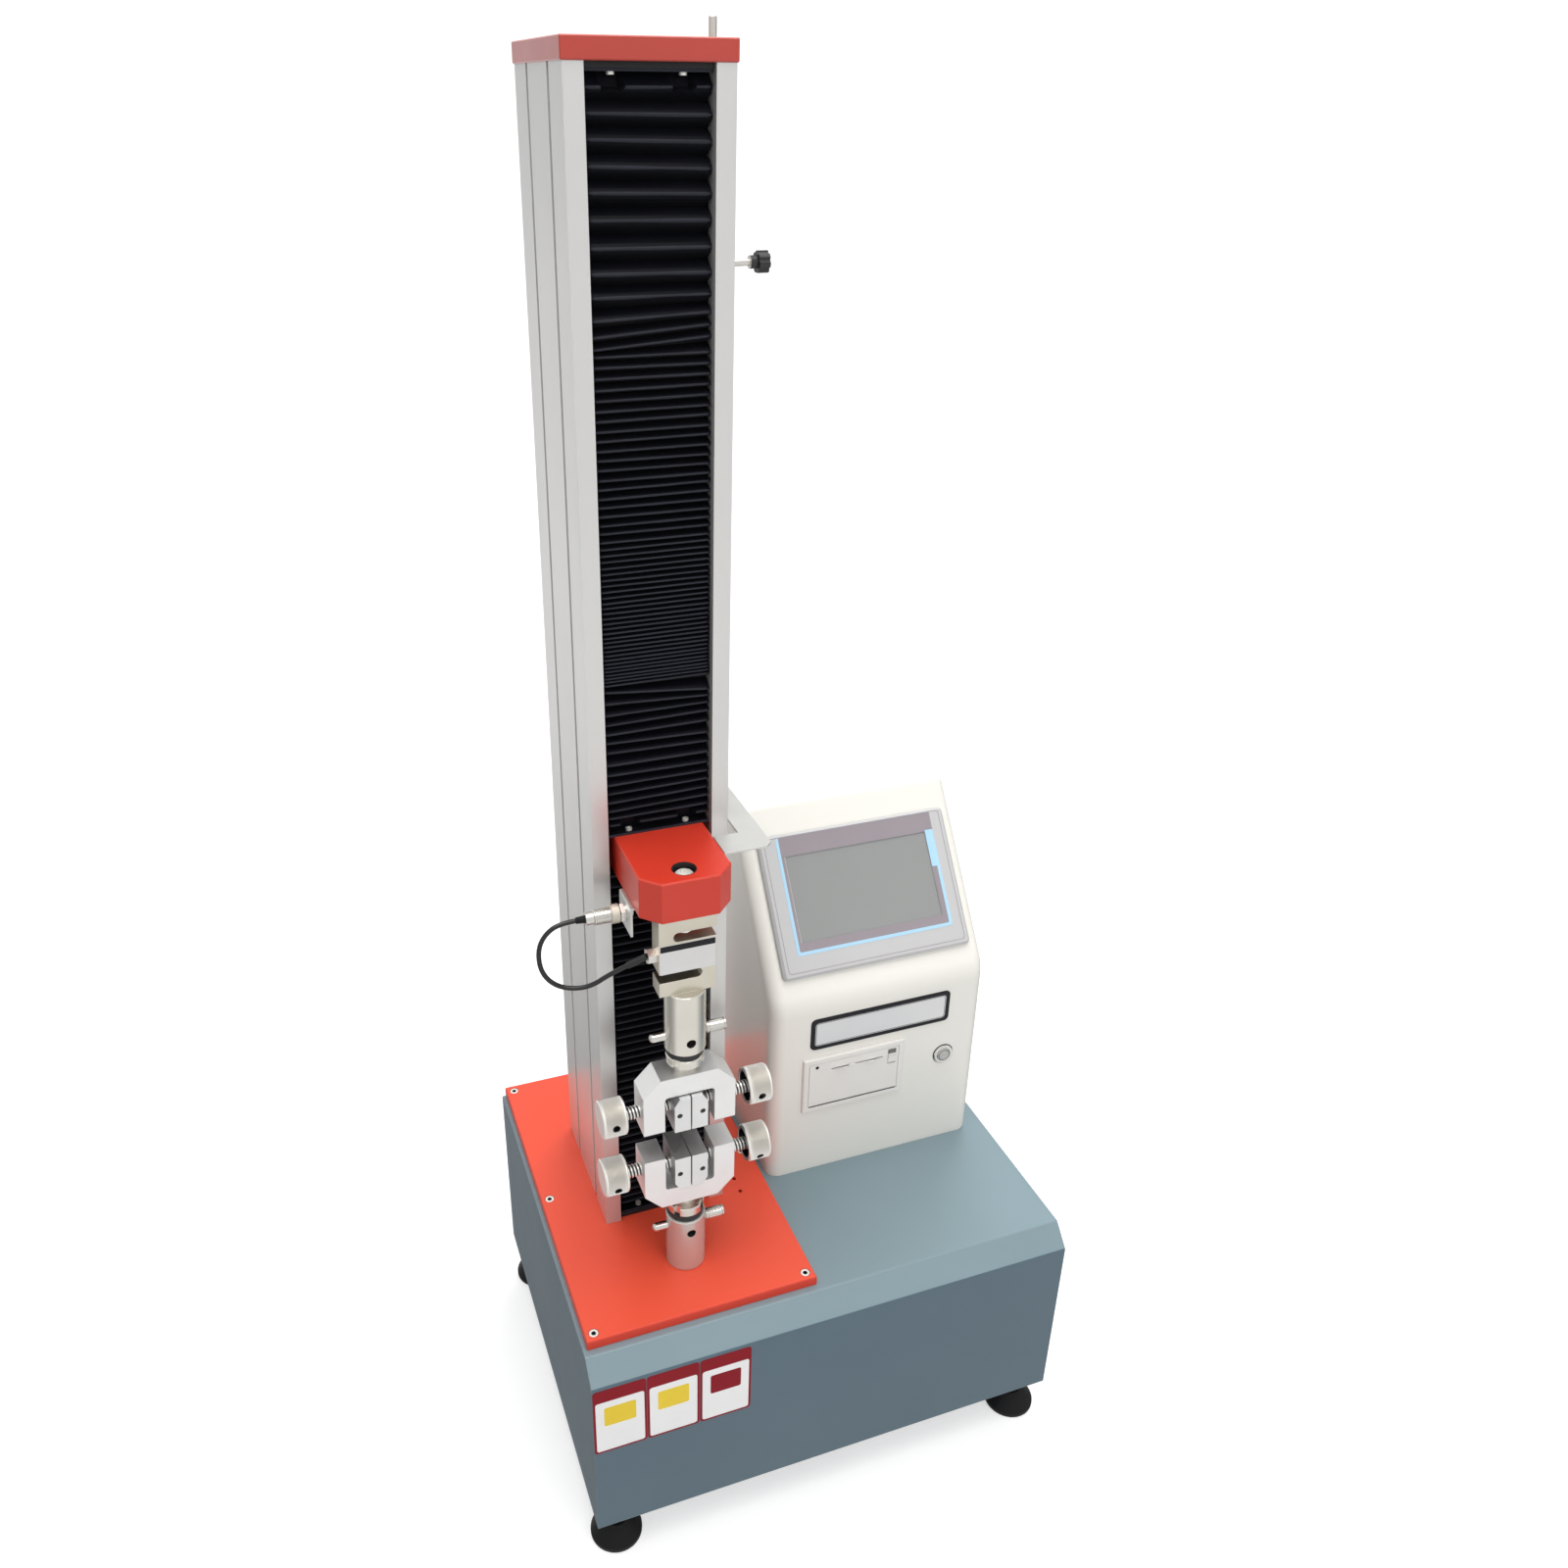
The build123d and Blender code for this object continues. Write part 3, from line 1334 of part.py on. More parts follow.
def make_rocker_switch():
    # Drawn level about its pivot, then tipped to one side.
    pivot_y = cabinet_back - switch_pivot_depth
    half_z = switch_height / 2 - switch_rocker_inset
    width = switch_width - 2 * (inlet_fit + switch_wall + switch_side_gap)
    tilt = math.radians(switch_throw)
    outline = Polyline(
        (0, -5), (half_z, 3), (half_z, 4.5), (0, 6 - half_z * math.tan(tilt)), (-half_z, 4.5),
        (-half_z, 3), close=True,
    )
    profile = make_face(Plane(origin=(switch_x - width / 2, pivot_y, inlet_z), x_dir=(0, 0, 1),
                              z_dir=(1, 0, 0)) * outline)
    rocker = extrude(profile, width, dir=(1, 0, 0))
    pin_end = width / 2 + switch_pin_reach
    rocker += rod_x(switch_x - pin_end, switch_x + pin_end, pivot_y, inlet_z, switch_pin_radius)
    pivot = Pos(switch_x, pivot_y, inlet_z)
    return pivot * Rot(switch_throw, 0, 0) * pivot.inverse() * rocker


def all_nodes():
    nodes = {
        "cabinet_shell": make_cabinet_shell(),
        "cabinet_base": make_cabinet_base(),
        "levelling_feet": make_levelling_feet(),
        "table_plate": make_table_plate(),
        "frame_screws": make_frame_screws(),
        "column_profiles": make_column_profiles(),
        "column_back_plate": make_column_back_plate(),
        "bearing_blocks": make_bearing_blocks(),
        "guide_rods": make_guide_rods(),
        "column_cap": make_column_cap(),
        "ball_screw": make_ball_screw(),
        "drive_belt": make_drive_belt(),
        "drive_motor": make_drive_motor(),
        "motor_pulley": make_motor_pulley(),
        "carriage": make_carriage(),
        "carriage_bearings": make_carriage_bearings(),
        "crosshead_block": make_crosshead_block(),
        "crosshead_screws": make_crosshead_screws(),
        "crosshead_brackets": make_crosshead_brackets(),
        "upper_bellows": make_upper_bellows(),
        "lower_bellows": make_lower_bellows(),
        "load_cell": make_load_cell(),
        "connector_socket": make_connector_socket(),
        "connector_ring": make_connector_ring(),
        "connector_plug": make_connector_plug(),
        "load_cell_cord": make_load_cell_cord(),
        "cord_gland": make_cord_gland(),
        "upper_socket": make_socket(upper_coupling, cell_bottom, socket_stud_length),
        "lower_socket": make_socket(lower_coupling, plate_top, 0),
        "upper_shank": make_shank(upper_coupling),
        "lower_shank": make_shank(lower_coupling),
        "upper_lock_ring": make_lock_ring(upper_coupling),
        "lower_lock_ring": make_lock_ring(lower_coupling),
        "upper_pin": make_pin(upper_coupling),
        "lower_pin": make_pin(lower_coupling),
        "rod_guides": make_rod_guides(),
        "limit_rod": make_limit_rod(),
        "upper_stop": make_upper_stop(),
        "upper_stop_knob": make_upper_stop_knob(),
        "lower_stop": make_lower_stop(),
        "console_shell": make_console_shell(),
        "hmi_bezel": make_hmi_bezel(),
        "hmi_screen": make_hmi_screen(),
        "printer_housing": make_printer_housing(),
        "printer_door": make_printer_door(),
        "printer_latch": make_printer_latch(),
        "button_ring": make_button_ring(),
        "push_button": make_push_button(),
        "power_inlet": make_power_inlet(),
        "rocker_switch": make_rocker_switch(),
    }
    nodes.update(grip_nodes())
    return nodes


os.makedirs("parts", exist_ok=True)
for name, shape in all_nodes().items():
    if isinstance(shape, (list, tuple)):
        shape = Compound(children=[solid for piece in shape for solid in piece.solids()])
    export_step(shape, f"parts/{name}.step")
    print("wrote", name)
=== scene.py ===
import math
import random

import bmesh
import bpy
from mathutils import Matrix, Vector, noise


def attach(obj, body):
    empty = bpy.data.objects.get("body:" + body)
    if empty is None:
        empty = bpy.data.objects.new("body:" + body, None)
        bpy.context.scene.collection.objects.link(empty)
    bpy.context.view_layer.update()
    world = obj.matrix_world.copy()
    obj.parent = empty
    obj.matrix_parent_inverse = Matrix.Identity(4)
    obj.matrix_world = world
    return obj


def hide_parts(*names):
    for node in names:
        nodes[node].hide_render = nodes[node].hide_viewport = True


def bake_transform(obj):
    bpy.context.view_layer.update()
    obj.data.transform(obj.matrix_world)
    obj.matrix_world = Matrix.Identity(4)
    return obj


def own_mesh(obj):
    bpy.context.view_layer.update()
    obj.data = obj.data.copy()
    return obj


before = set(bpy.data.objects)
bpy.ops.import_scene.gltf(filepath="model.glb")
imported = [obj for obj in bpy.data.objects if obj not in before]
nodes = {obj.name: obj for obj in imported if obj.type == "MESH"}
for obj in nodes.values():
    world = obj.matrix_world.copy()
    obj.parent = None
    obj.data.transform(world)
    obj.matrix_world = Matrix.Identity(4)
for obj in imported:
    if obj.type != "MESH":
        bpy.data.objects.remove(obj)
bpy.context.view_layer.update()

scene = bpy.context.scene
upAxis = Vector((0, 0, 1))
print("frame loaded:", len(nodes), "CAD nodes")


# Camera, fitted to some forty points of the photograph
cameraValues = {
    "place": (-0.416885, -0.977486, 1.265952),
    "yaw": 0.3450355,
    "pitch": 0.4556906,
    "roll": 0.0066361,
    "lens": 30.30,
    "shift": (0.0462, -0.02505),
}


def addCamera():
    values = cameraValues
    yaw, pitch, roll = values["yaw"], values["pitch"], values["roll"]
    forward = Vector((math.sin(yaw) * math.cos(pitch), math.cos(yaw) * math.cos(pitch), -math.sin(pitch)))
    level = forward.cross(upAxis).normalized()
    head = level.cross(forward)
    across = math.cos(roll) * level + math.sin(roll) * head
    upward = math.cos(roll) * head - math.sin(roll) * level
    data = bpy.data.cameras.new("camera")
    data.sensor_width = 36
    data.lens = values["lens"]
    data.shift_x, data.shift_y = values["shift"]
    data.clip_start, data.clip_end = 0.01, 60
    camera = bpy.data.objects.new("camera", data)
    turn = Matrix((across, upward, -forward)).transposed()
    camera.matrix_world = Matrix.Translation(values["place"]) @ turn.to_4x4()
    scene.collection.objects.link(camera)
    scene.camera = camera


addCamera()


# Cord of the load cell, from the connector's sleeve round to the cell's gland
cordValues = {
    "diameter": 0.0042,
    "length": 0.1463,
    "route": (
        (-0.2113, -0.0720, 0.6500), (-0.2248, -0.0720, 0.6500), (-0.2373, -0.0730, 0.6430),
        (-0.2443, -0.0750, 0.6310), (-0.2443, -0.0780, 0.6130), (-0.2368, -0.0810, 0.5995),
        (-0.2233, -0.0840, 0.5920), (-0.2048, -0.0890, 0.5930), (-0.18825, -0.09442, 0.60635),
        (-0.17413, -0.09753, 0.61345),
    ),
}


def addCord():
    curve = bpy.data.curves.new("signalCord", "CURVE")
    curve.dimensions = "3D"
    curve.bevel_depth = 1.0  # times each point's radius below
    curve.bevel_resolution = 6
    curve.resolution_u = 24
    curve.use_fill_caps = True
    line = curve.splines.new("NURBS")
    line.points.add(len(cordValues["route"]) - 1)
    for point, place in zip(line.points, cordValues["route"]):
        point.co = (*place, 1)
        point.radius = cordValues["diameter"] / 2
    line.order_u = 3
    line.use_endpoint_u = True
    cord = bpy.data.objects.new("signalCord", curve)
    scene.collection.objects.link(cord)
    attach(cord, "crosshead")
    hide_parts("load_cell_cord")
    return cord


signalCord = addCord()
print("camera and cord made")


# Small helpers for meshes
def meshPiece(name, points, faces, smooth=True):
    mesh = bpy.data.meshes.new(name)
    mesh.from_pydata(points, [], faces)
    mesh.validate()
    piece = bpy.data.objects.new(name, mesh)
    scene.collection.objects.link(piece)
    for face in mesh.polygons:
        face.use_smooth = smooth
    return piece


def gridFaces(rows, columns, closed=False):
    faces = []
    wrap = columns if closed else columns - 1
    for row in range(rows - 1):
        for column in range(wrap):
            a = row * columns + column
            b = row * columns + (column + 1) % columns
            faces.append((a, b, b + columns, a + columns))
    return faces


def axisPlace(origin, across, outward):
    # Frame whose X runs across and whose Z looks outwards.
    across, outward = Vector(across).normalized(), Vector(outward).normalized()
    side = outward.cross(across)
    return Matrix.Translation(origin) @ Matrix((across, side, outward)).transposed().to_4x4()


def roundedLoop(width, height, radius, steps, centre=(0, 0)):
    # Outline of a rectangle with round corners, each of them in so many steps.
    loop = []
    for turn, (sx, sy) in enumerate(((1, 1), (-1, 1), (-1, -1), (1, -1))):
        for step in range(steps + 1):
            angle = math.pi / 2 * (turn + step / steps)
            loop.append((centre[0] + sx * (width / 2 - radius) + radius * math.cos(angle),
                         centre[1] + sy * (height / 2 - radius) + radius * math.sin(angle)))
    return loop


def plateMesh(outline, depth0, depth1, rub=0.0):
    # Plate from an outline, its front edge eased by rub.
    points = []
    count = len(outline)
    middle = Vector((sum(p[0] for p in outline) / count, sum(p[1] for p in outline) / count))
    for inset, depth in ((0, depth0), (0, depth1 - rub), (rub, depth1)):
        for x, y in outline:
            away = (Vector((x, y)) - middle).normalized() * inset
            points.append((x - away.x, y - away.y, depth))
    faces = gridFaces(3, count, closed=True)
    faces.append(tuple(reversed(range(count))))
    faces.append(tuple(range(2 * count, 3 * count)))
    return points, faces


def frameMesh(outer, inner, depth0, depth1):
    # Flat frame between two loops with the same number of points.
    points = [(x, y, z) for loop, z in ((outer, depth0), (outer, depth1), (inner, depth1), (inner, depth0))
              for x, y in loop]
    count = len(outer)
    faces = gridFaces(4, count, closed=True)
    faces += [(3 * count + i, 3 * count + (i + 1) % count, (i + 1) % count, i) for i in range(count)]
    return points, faces


def joinShapes(name, shapes, smooth=False):
    # Several (points, faces, material number) shapes in one piece.
    points, faces, numbers = [], [], []
    for shapePoints, shapeFaces, number in shapes:
        start = len(points)
        points += shapePoints
        faces += [tuple(i + start for i in face) for face in shapeFaces]
        numbers += [number] * len(shapeFaces)
    piece = meshPiece(name, points, faces, smooth)
    for face, number in zip(piece.data.polygons, numbers):
        face.material_index = number
    return piece


def turnedMesh(rings, sides, radiusAt=None):
    # Rings of (length along Z, radius); radiusAt(z, radius, angle) may shape the surface.
    points = []
    for z, radius in rings:
        for side in range(sides):
            angle = 2 * math.pi * side / sides
            r = radiusAt(z, radius, angle) if radiusAt else radius
            points.append((r * math.cos(angle), r * math.sin(angle), z))
    faces = gridFaces(len(rings), sides, closed=True)
    faces.append(tuple(reversed(range(sides))))
    faces.append(tuple(range((len(rings) - 1) * sides, len(rings) * sides)))
    return points, faces


def placed(shape, place):
    points, faces = shape
    return [tuple(place @ Vector(p)) for p in points], faces


def cutAway(piece, cutter):
    # Cuts one mesh out of the other for good, and removes the cutter.
    step = piece.modifiers.new("cut", "BOOLEAN")
    step.operation, step.solver, step.object = "DIFFERENCE", "EXACT", cutter
    bpy.context.view_layer.update()
    shaped = bpy.data.meshes.new_from_object(piece.evaluated_get(bpy.context.evaluated_depsgraph_get()))
    piece.modifiers.clear()
    piece.data = shaped
    bpy.data.objects.remove(cutter)


def sharpEdges(piece, degrees):
    piece.data.set_sharp_from_angle(angle=math.radians(degrees))


# Small helpers for shader nodes
def addNode(tree, kind, **settings):
    node = tree.nodes.new(kind)
    for key, value in settings.items():
        setattr(node, key, value)
    return node


def feed(tree, socket, value):
    # Links an output or sets a plain value; a colour gets its alpha here.
    if isinstance(value, bpy.types.NodeSocket):
        tree.links.new(value, socket)
    elif socket.type == "RGBA":
        socket.default_value = (*value, 1)
    else:
        socket.default_value = value


def mathNode(tree, operation, first, second=0.0, clamp=False):
    node = addNode(tree, "ShaderNodeMath", operation=operation, use_clamp=clamp)
    feed(tree, node.inputs[0], first)
    feed(tree, node.inputs[1], second)
    return node.outputs[0]


def times(tree, first, second, clamp=False):
    return mathNode(tree, "MULTIPLY", first, second, clamp)


def inverted(tree, mask):
    return mathNode(tree, "SUBTRACT", 1.0, mask)


def mixColour(tree, factor, first, second):
    node = addNode(tree, "ShaderNodeMix", data_type="RGBA")
    feed(tree, node.inputs["Factor"], factor)
    feed(tree, node.inputs[6], first)  # 6, 7 and output 2 are the node's colour sockets
    feed(tree, node.inputs[7], second)
    return node.outputs[2]


def rangeNode(tree, value, low, high, toLow=0.0, toHigh=1.0):
    node = addNode(tree, "ShaderNodeMapRange")
    for socket, number in zip(node.inputs, (value, low, high, toLow, toHigh)):
        feed(tree, socket, number)
    return node.outputs[0]


def noiseNode(tree, vector, scale, detail=3.0, roughness=0.55):
    node = addNode(tree, "ShaderNodeTexNoise")
    feed(tree, node.inputs["Vector"], vector)
    feed(tree, node.inputs["Scale"], scale)
    node.inputs["Detail"].default_value = detail
    node.inputs["Roughness"].default_value = roughness
    return node.outputs["Fac"]


def vectorNode(tree, operation, first, second=None):
    node = addNode(tree, "ShaderNodeVectorMath", operation=operation)
    feed(tree, node.inputs[0], first)
    if second is not None:
        feed(tree, node.inputs[1], second)
    return node.outputs["Value" if operation in ("DOT_PRODUCT", "LENGTH") else "Vector"]


def newGroup(name, inputs, outputs):
    tree = bpy.data.node_groups.new(name, "ShaderNodeTree")
    for label, kind, value in inputs:
        socket = tree.interface.new_socket(label, in_out="INPUT", socket_type=kind)
        if value is not None:
            socket.default_value = value
    for label, kind in outputs:
        tree.interface.new_socket(label, in_out="OUTPUT", socket_type=kind)
    return tree, addNode(tree, "NodeGroupInput"), addNode(tree, "NodeGroupOutput")


def useGroup(tree, group, **values):
    node = addNode(tree, "ShaderNodeGroup", node_tree=group)
    for label, value in values.items():
        feed(tree, node.inputs[label], value)
    return node


# Effects that several finishes share
effectValues = {
    "edgeLean": (0.995, 0.86),  # cosine between the rounded and the plain normal, from untouched to worn and lit by a painted highlight
    "edgeNoise": (90.0, 4.0), "edgeBreaks": (0.35, 0.65),
    "broadGrain": 0.21,
    "cloudScale": 7.0, "cloudSpan": (0.3, 0.7),
    "broadStreaks": 0.2, "streakSpan": (0.3, 0.7), "streakShares": (0.65, 0.35), "streakTone": 3.0,
    "streakRough": 0.5,
    "paintedSheenCloud": (0.9, 1.0),
    "turnedAngle": 0.25,
}


# Rounded edges go lighter: partly wear, partly a painted highlight along the edges
def makeEdgeWearAndHighlight():
    tree, start, end = newGroup("edgeWearAndHighlight", (
        ("Radius", "NodeSocketFloat", 0.0008), ("Break", "NodeSocketFloat", 0.5),
        ("Strength", "NodeSocketFloat", 1.0)), (("Mask", "NodeSocketFloat"), ("Normal", "NodeSocketVector")))
    bevel = addNode(tree, "ShaderNodeBevel", samples=3)
    feed(tree, bevel.inputs["Radius"], start.outputs["Radius"])
    plain = addNode(tree, "ShaderNodeNewGeometry")
    lean = vectorNode(tree, "DOT_PRODUCT", bevel.outputs[0], plain.outputs["Normal"])
    edge = rangeNode(tree, lean, *effectValues["edgeLean"])
    place = addNode(tree, "ShaderNodeTexCoord")
    patch = noiseNode(tree, place.outputs["Object"], *effectValues["edgeNoise"])
    patch = rangeNode(tree, patch, *effectValues["edgeBreaks"])
    kept = inverted(tree, times(tree, patch, start.outputs["Break"]))
    mask = times(tree, times(tree, edge, kept), start.outputs["Strength"], clamp=True)
    feed(tree, end.inputs["Mask"], mask)
    feed(tree, end.inputs["Normal"], bevel.outputs[0])
    return tree


def makeFineGrain():
    tree, start, end = newGroup("fineGrain", (
        ("Vector", "NodeSocketVector", None), ("Scale", "NodeSocketFloat", 600.0),
        ("Waves", "NodeSocketFloat", 0.5)), (("Height", "NodeSocketFloat"),))
    vector, scale = start.outputs["Vector"], start.outputs["Scale"]
    fine = noiseNode(tree, vector, scale, 2.0)
    broad = noiseNode(tree, vector, times(tree, scale, effectValues["broadGrain"]), 1.0)
    broad = times(tree, broad, start.outputs["Waves"])
    feed(tree, end.inputs["Height"], mathNode(tree, "ADD", fine, broad))
    return tree


def makeCloudiness():
    tree, start, end = newGroup("cloudiness", (
        ("Vector", "NodeSocketVector", None), ("Scale", "NodeSocketFloat", 6.0),
        ("Low", "NodeSocketFloat", 0.0), ("High", "NodeSocketFloat", 1.0)), (("Value", "NodeSocketFloat"),))
    cloud = noiseNode(tree, start.outputs["Vector"], start.outputs["Scale"], 4.0, 0.6)
    cloud = rangeNode(tree, cloud, *effectValues["cloudSpan"], start.outputs["Low"], start.outputs["High"])
    feed(tree, end.inputs["Value"], cloud)
    return tree


def makeStreaks():
    tree, start, end = newGroup("streaks", (
        ("Vector", "NodeSocketVector", None), ("Stretch", "NodeSocketVector", (1.0, 1.0, 0.02)),
        ("Scale", "NodeSocketFloat", 900.0)), (("Value", "NodeSocketFloat"),))
    stretched = vectorNode(tree, "MULTIPLY", start.outputs["Vector"], start.outputs["Stretch"])
    scale = start.outputs["Scale"]
    fine = noiseNode(tree, stretched, scale, 2.0, 0.6)
    broad = noiseNode(tree, stretched, times(tree, scale, effectValues["broadStreaks"]), 2.0)
    fineShare, broadShare = effectValues["streakShares"]
    both = mathNode(tree, "ADD", times(tree, fine, fineShare), times(tree, broad, broadShare))
    feed(tree, end.inputs["Value"], rangeNode(tree, both, *effectValues["streakSpan"]))
    return tree


edgeWearAndHighlight = makeEdgeWearAndHighlight()
fineGrain = makeFineGrain()
cloudiness = makeCloudiness()
streaks = makeStreaks()
print("shared effects made")


# Where a patch of another finish or of painted shade lies on a piece, as a mask
def coordinate(tree, place, axis):
    split = addNode(tree, "ShaderNodeSeparateXYZ")
    feed(tree, split.inputs[0], place)
    return split.outputs["xyz".index(axis)]


def withinRadius(tree, place, axis, centre, radius):
    # Inside a cylinder along one axis; centre is its middle on the other two.
    keep = {"x": (0, 1, 1), "y": (1, 0, 1), "z": (1, 1, 0)}[axis]
    middle = list(centre)
    middle.insert("xyz".index(axis), 0.0)
    flat = vectorNode(tree, "MULTIPLY", vectorNode(tree, "SUBTRACT", place, middle), keep)
    return mathNode(tree, "LESS_THAN", vectorNode(tree, "LENGTH", flat), radius)


def patchMask(tree, place, conditions):
    # 1 where all of the conditions hold and 0 elsewhere.
    mask = None
    for kind, axis, *limits in conditions:
        if kind in ("within", "outside"):
            part = withinRadius(tree, place, axis, *limits)
            part = inverted(tree, part) if kind == "outside" else part
        else:
            operation = {"above": "GREATER_THAN", "below": "LESS_THAN"}[kind]
            part = mathNode(tree, operation, coordinate(tree, place, axis), *limits)
        mask = times(tree, mask, part) if mask else part
    return mask


def addPatch(tree, shader, mask, colour, rough):
    # Another, non-metal finish where the mask is 1; some patches are painted shade in holes.
    base, gloss, metal = (shader.inputs[label] for label in ("Base Color", "Roughness", "Metallic"))
    feed(tree, base, mixColour(tree, mask, base.links[0].from_socket, colour))
    under = gloss.links[0].from_socket
    gap = mathNode(tree, "SUBTRACT", rough, under)
    feed(tree, gloss, mathNode(tree, "ADD", under, times(tree, gap, mask)))
    if metal.default_value > 0:
        feed(tree, metal, times(tree, metal.default_value, inverted(tree, mask)))


# Finishes
def startMaterial(name):
    material = bpy.data.materials.new(name)
    material.use_nodes = True
    tree = material.node_tree
    shader = tree.nodes["Principled BSDF"]
    place = addNode(tree, "ShaderNodeTexCoord").outputs["Object"]
    return material, tree, shader, place


def makeFinish(name, values):
    # One finish from its values: colours, gloss, grain, streaks, painted sheen on faces that look up,
    # edges that wear and carry a painted highlight, and a patch of another finish or of painted shade.
    material, tree, shader, place = startMaterial(name)
    cloudScale = values.get("cloudScale", effectValues["cloudScale"])
    cloud = useGroup(tree, cloudiness, Vector=place, Scale=cloudScale).outputs["Value"]
    colour = mixColour(tree, cloud, values["colour"], values["shade"])
    rough = rangeNode(tree, cloud, 0.0, 1.0, *values["rough"])
    height = None
    if "grain" in values:
        scale, depth = values["grain"]
        height = times(tree, useGroup(tree, fineGrain, Vector=place, Scale=scale).outputs["Height"], depth)
    if "streak" in values:
        stretch, scale, tone, depth = values["streak"]
        lines = useGroup(tree, streaks, Vector=place, Stretch=stretch, Scale=scale).outputs["Value"]
        dark = tuple(c * (1 - tone) for c in values["colour"])
        darkened = times(tree, lines, tone * effectValues["streakTone"], clamp=True)
        colour = mixColour(tree, darkened, colour, dark)
        rough = mathNode(tree, "ADD", rough, times(tree, lines, tone * effectValues["streakRough"]))
        shadowLineHeight = times(tree, lines, depth)
        height = mathNode(tree, "ADD", height, shadowLineHeight) if height else shadowLineHeight
    if "paintedTopSheen" in values:  # faces that look up are paler: a painted sheen of the light from above and behind
        paintedSheenColour, low, high = values["paintedTopSheen"]
        level = coordinate(tree, addNode(tree, "ShaderNodeNewGeometry").outputs["Normal"], "z")
        thickness = rangeNode(tree, cloud, 0.0, 1.0, *effectValues["paintedSheenCloud"])
        paintedSheenMask = times(tree, rangeNode(tree, level, low, high), thickness)
        colour = mixColour(tree, paintedSheenMask, colour, paintedSheenColour)
    softNormal = None
    # edges go lighter: worn paint and metal, and a painted highlight
    if "edge" in values:
        radius, edgeWearAndHighlightColour, broken, strength = values["edge"]
        rub = useGroup(tree, edgeWearAndHighlight, Radius=radius, Break=broken, Strength=strength)
        colour = mixColour(tree, rub.outputs["Mask"], colour, edgeWearAndHighlightColour)
        softNormal = rub.outputs["Normal"]
    feed(tree, shader.inputs["Base Color"], colour)
    feed(tree, shader.inputs["Roughness"], rough)
    shader.inputs["Metallic"].default_value = values.get("metal", 0.0)
    shader.inputs["Specular IOR Level"].default_value = values.get("specular", 0.5)
    if "turned" in values:  # fine turning marks run round the piece's own upright axis
        shader.inputs["Anisotropic"].default_value = values["turned"]
        aroundAxis = addNode(tree, "ShaderNodeTangent", direction_type="RADIAL", axis="Z")
        feed(tree, shader.inputs["Tangent"], aroundAxis.outputs[0])
        shader.inputs["Anisotropic Rotation"].default_value = effectValues["turnedAngle"]
    if "coat" in values:
        coatWeight, coatRough = values["coat"]
        shader.inputs["Coat Weight"].default_value = coatWeight
        shader.inputs["Coat Roughness"].default_value = coatRough
    if height:
        bump = addNode(tree, "ShaderNodeBump")
        bump.inputs["Strength"].default_value = 1.0
        bump.inputs["Distance"].default_value = 1.0
        feed(tree, bump.inputs["Height"], height)
        if softNormal:
            feed(tree, bump.inputs["Normal"], softNormal)
        feed(tree, shader.inputs["Normal"], bump.outputs[0])
    if "patch" in values:
        where, patchColour, patchRough = values["patch"]
        addPatch(tree, shader, patchMask(tree, place, where), patchColour, patchRough)
    return material


# Red paint that the plate, the cap and the crosshead's block share
redPaintValues = {
    "colour": (0.60, 0.040, 0.020), "shade": (0.565, 0.036, 0.018), "rough": (0.34, 0.42),
    "grain": (620.0, 0.00004), "edge": (0.0009, (0.70, 0.10, 0.06), 0.4, 0.6), "coat": (0.12, 0.28),
    "specular": 0.4,
}
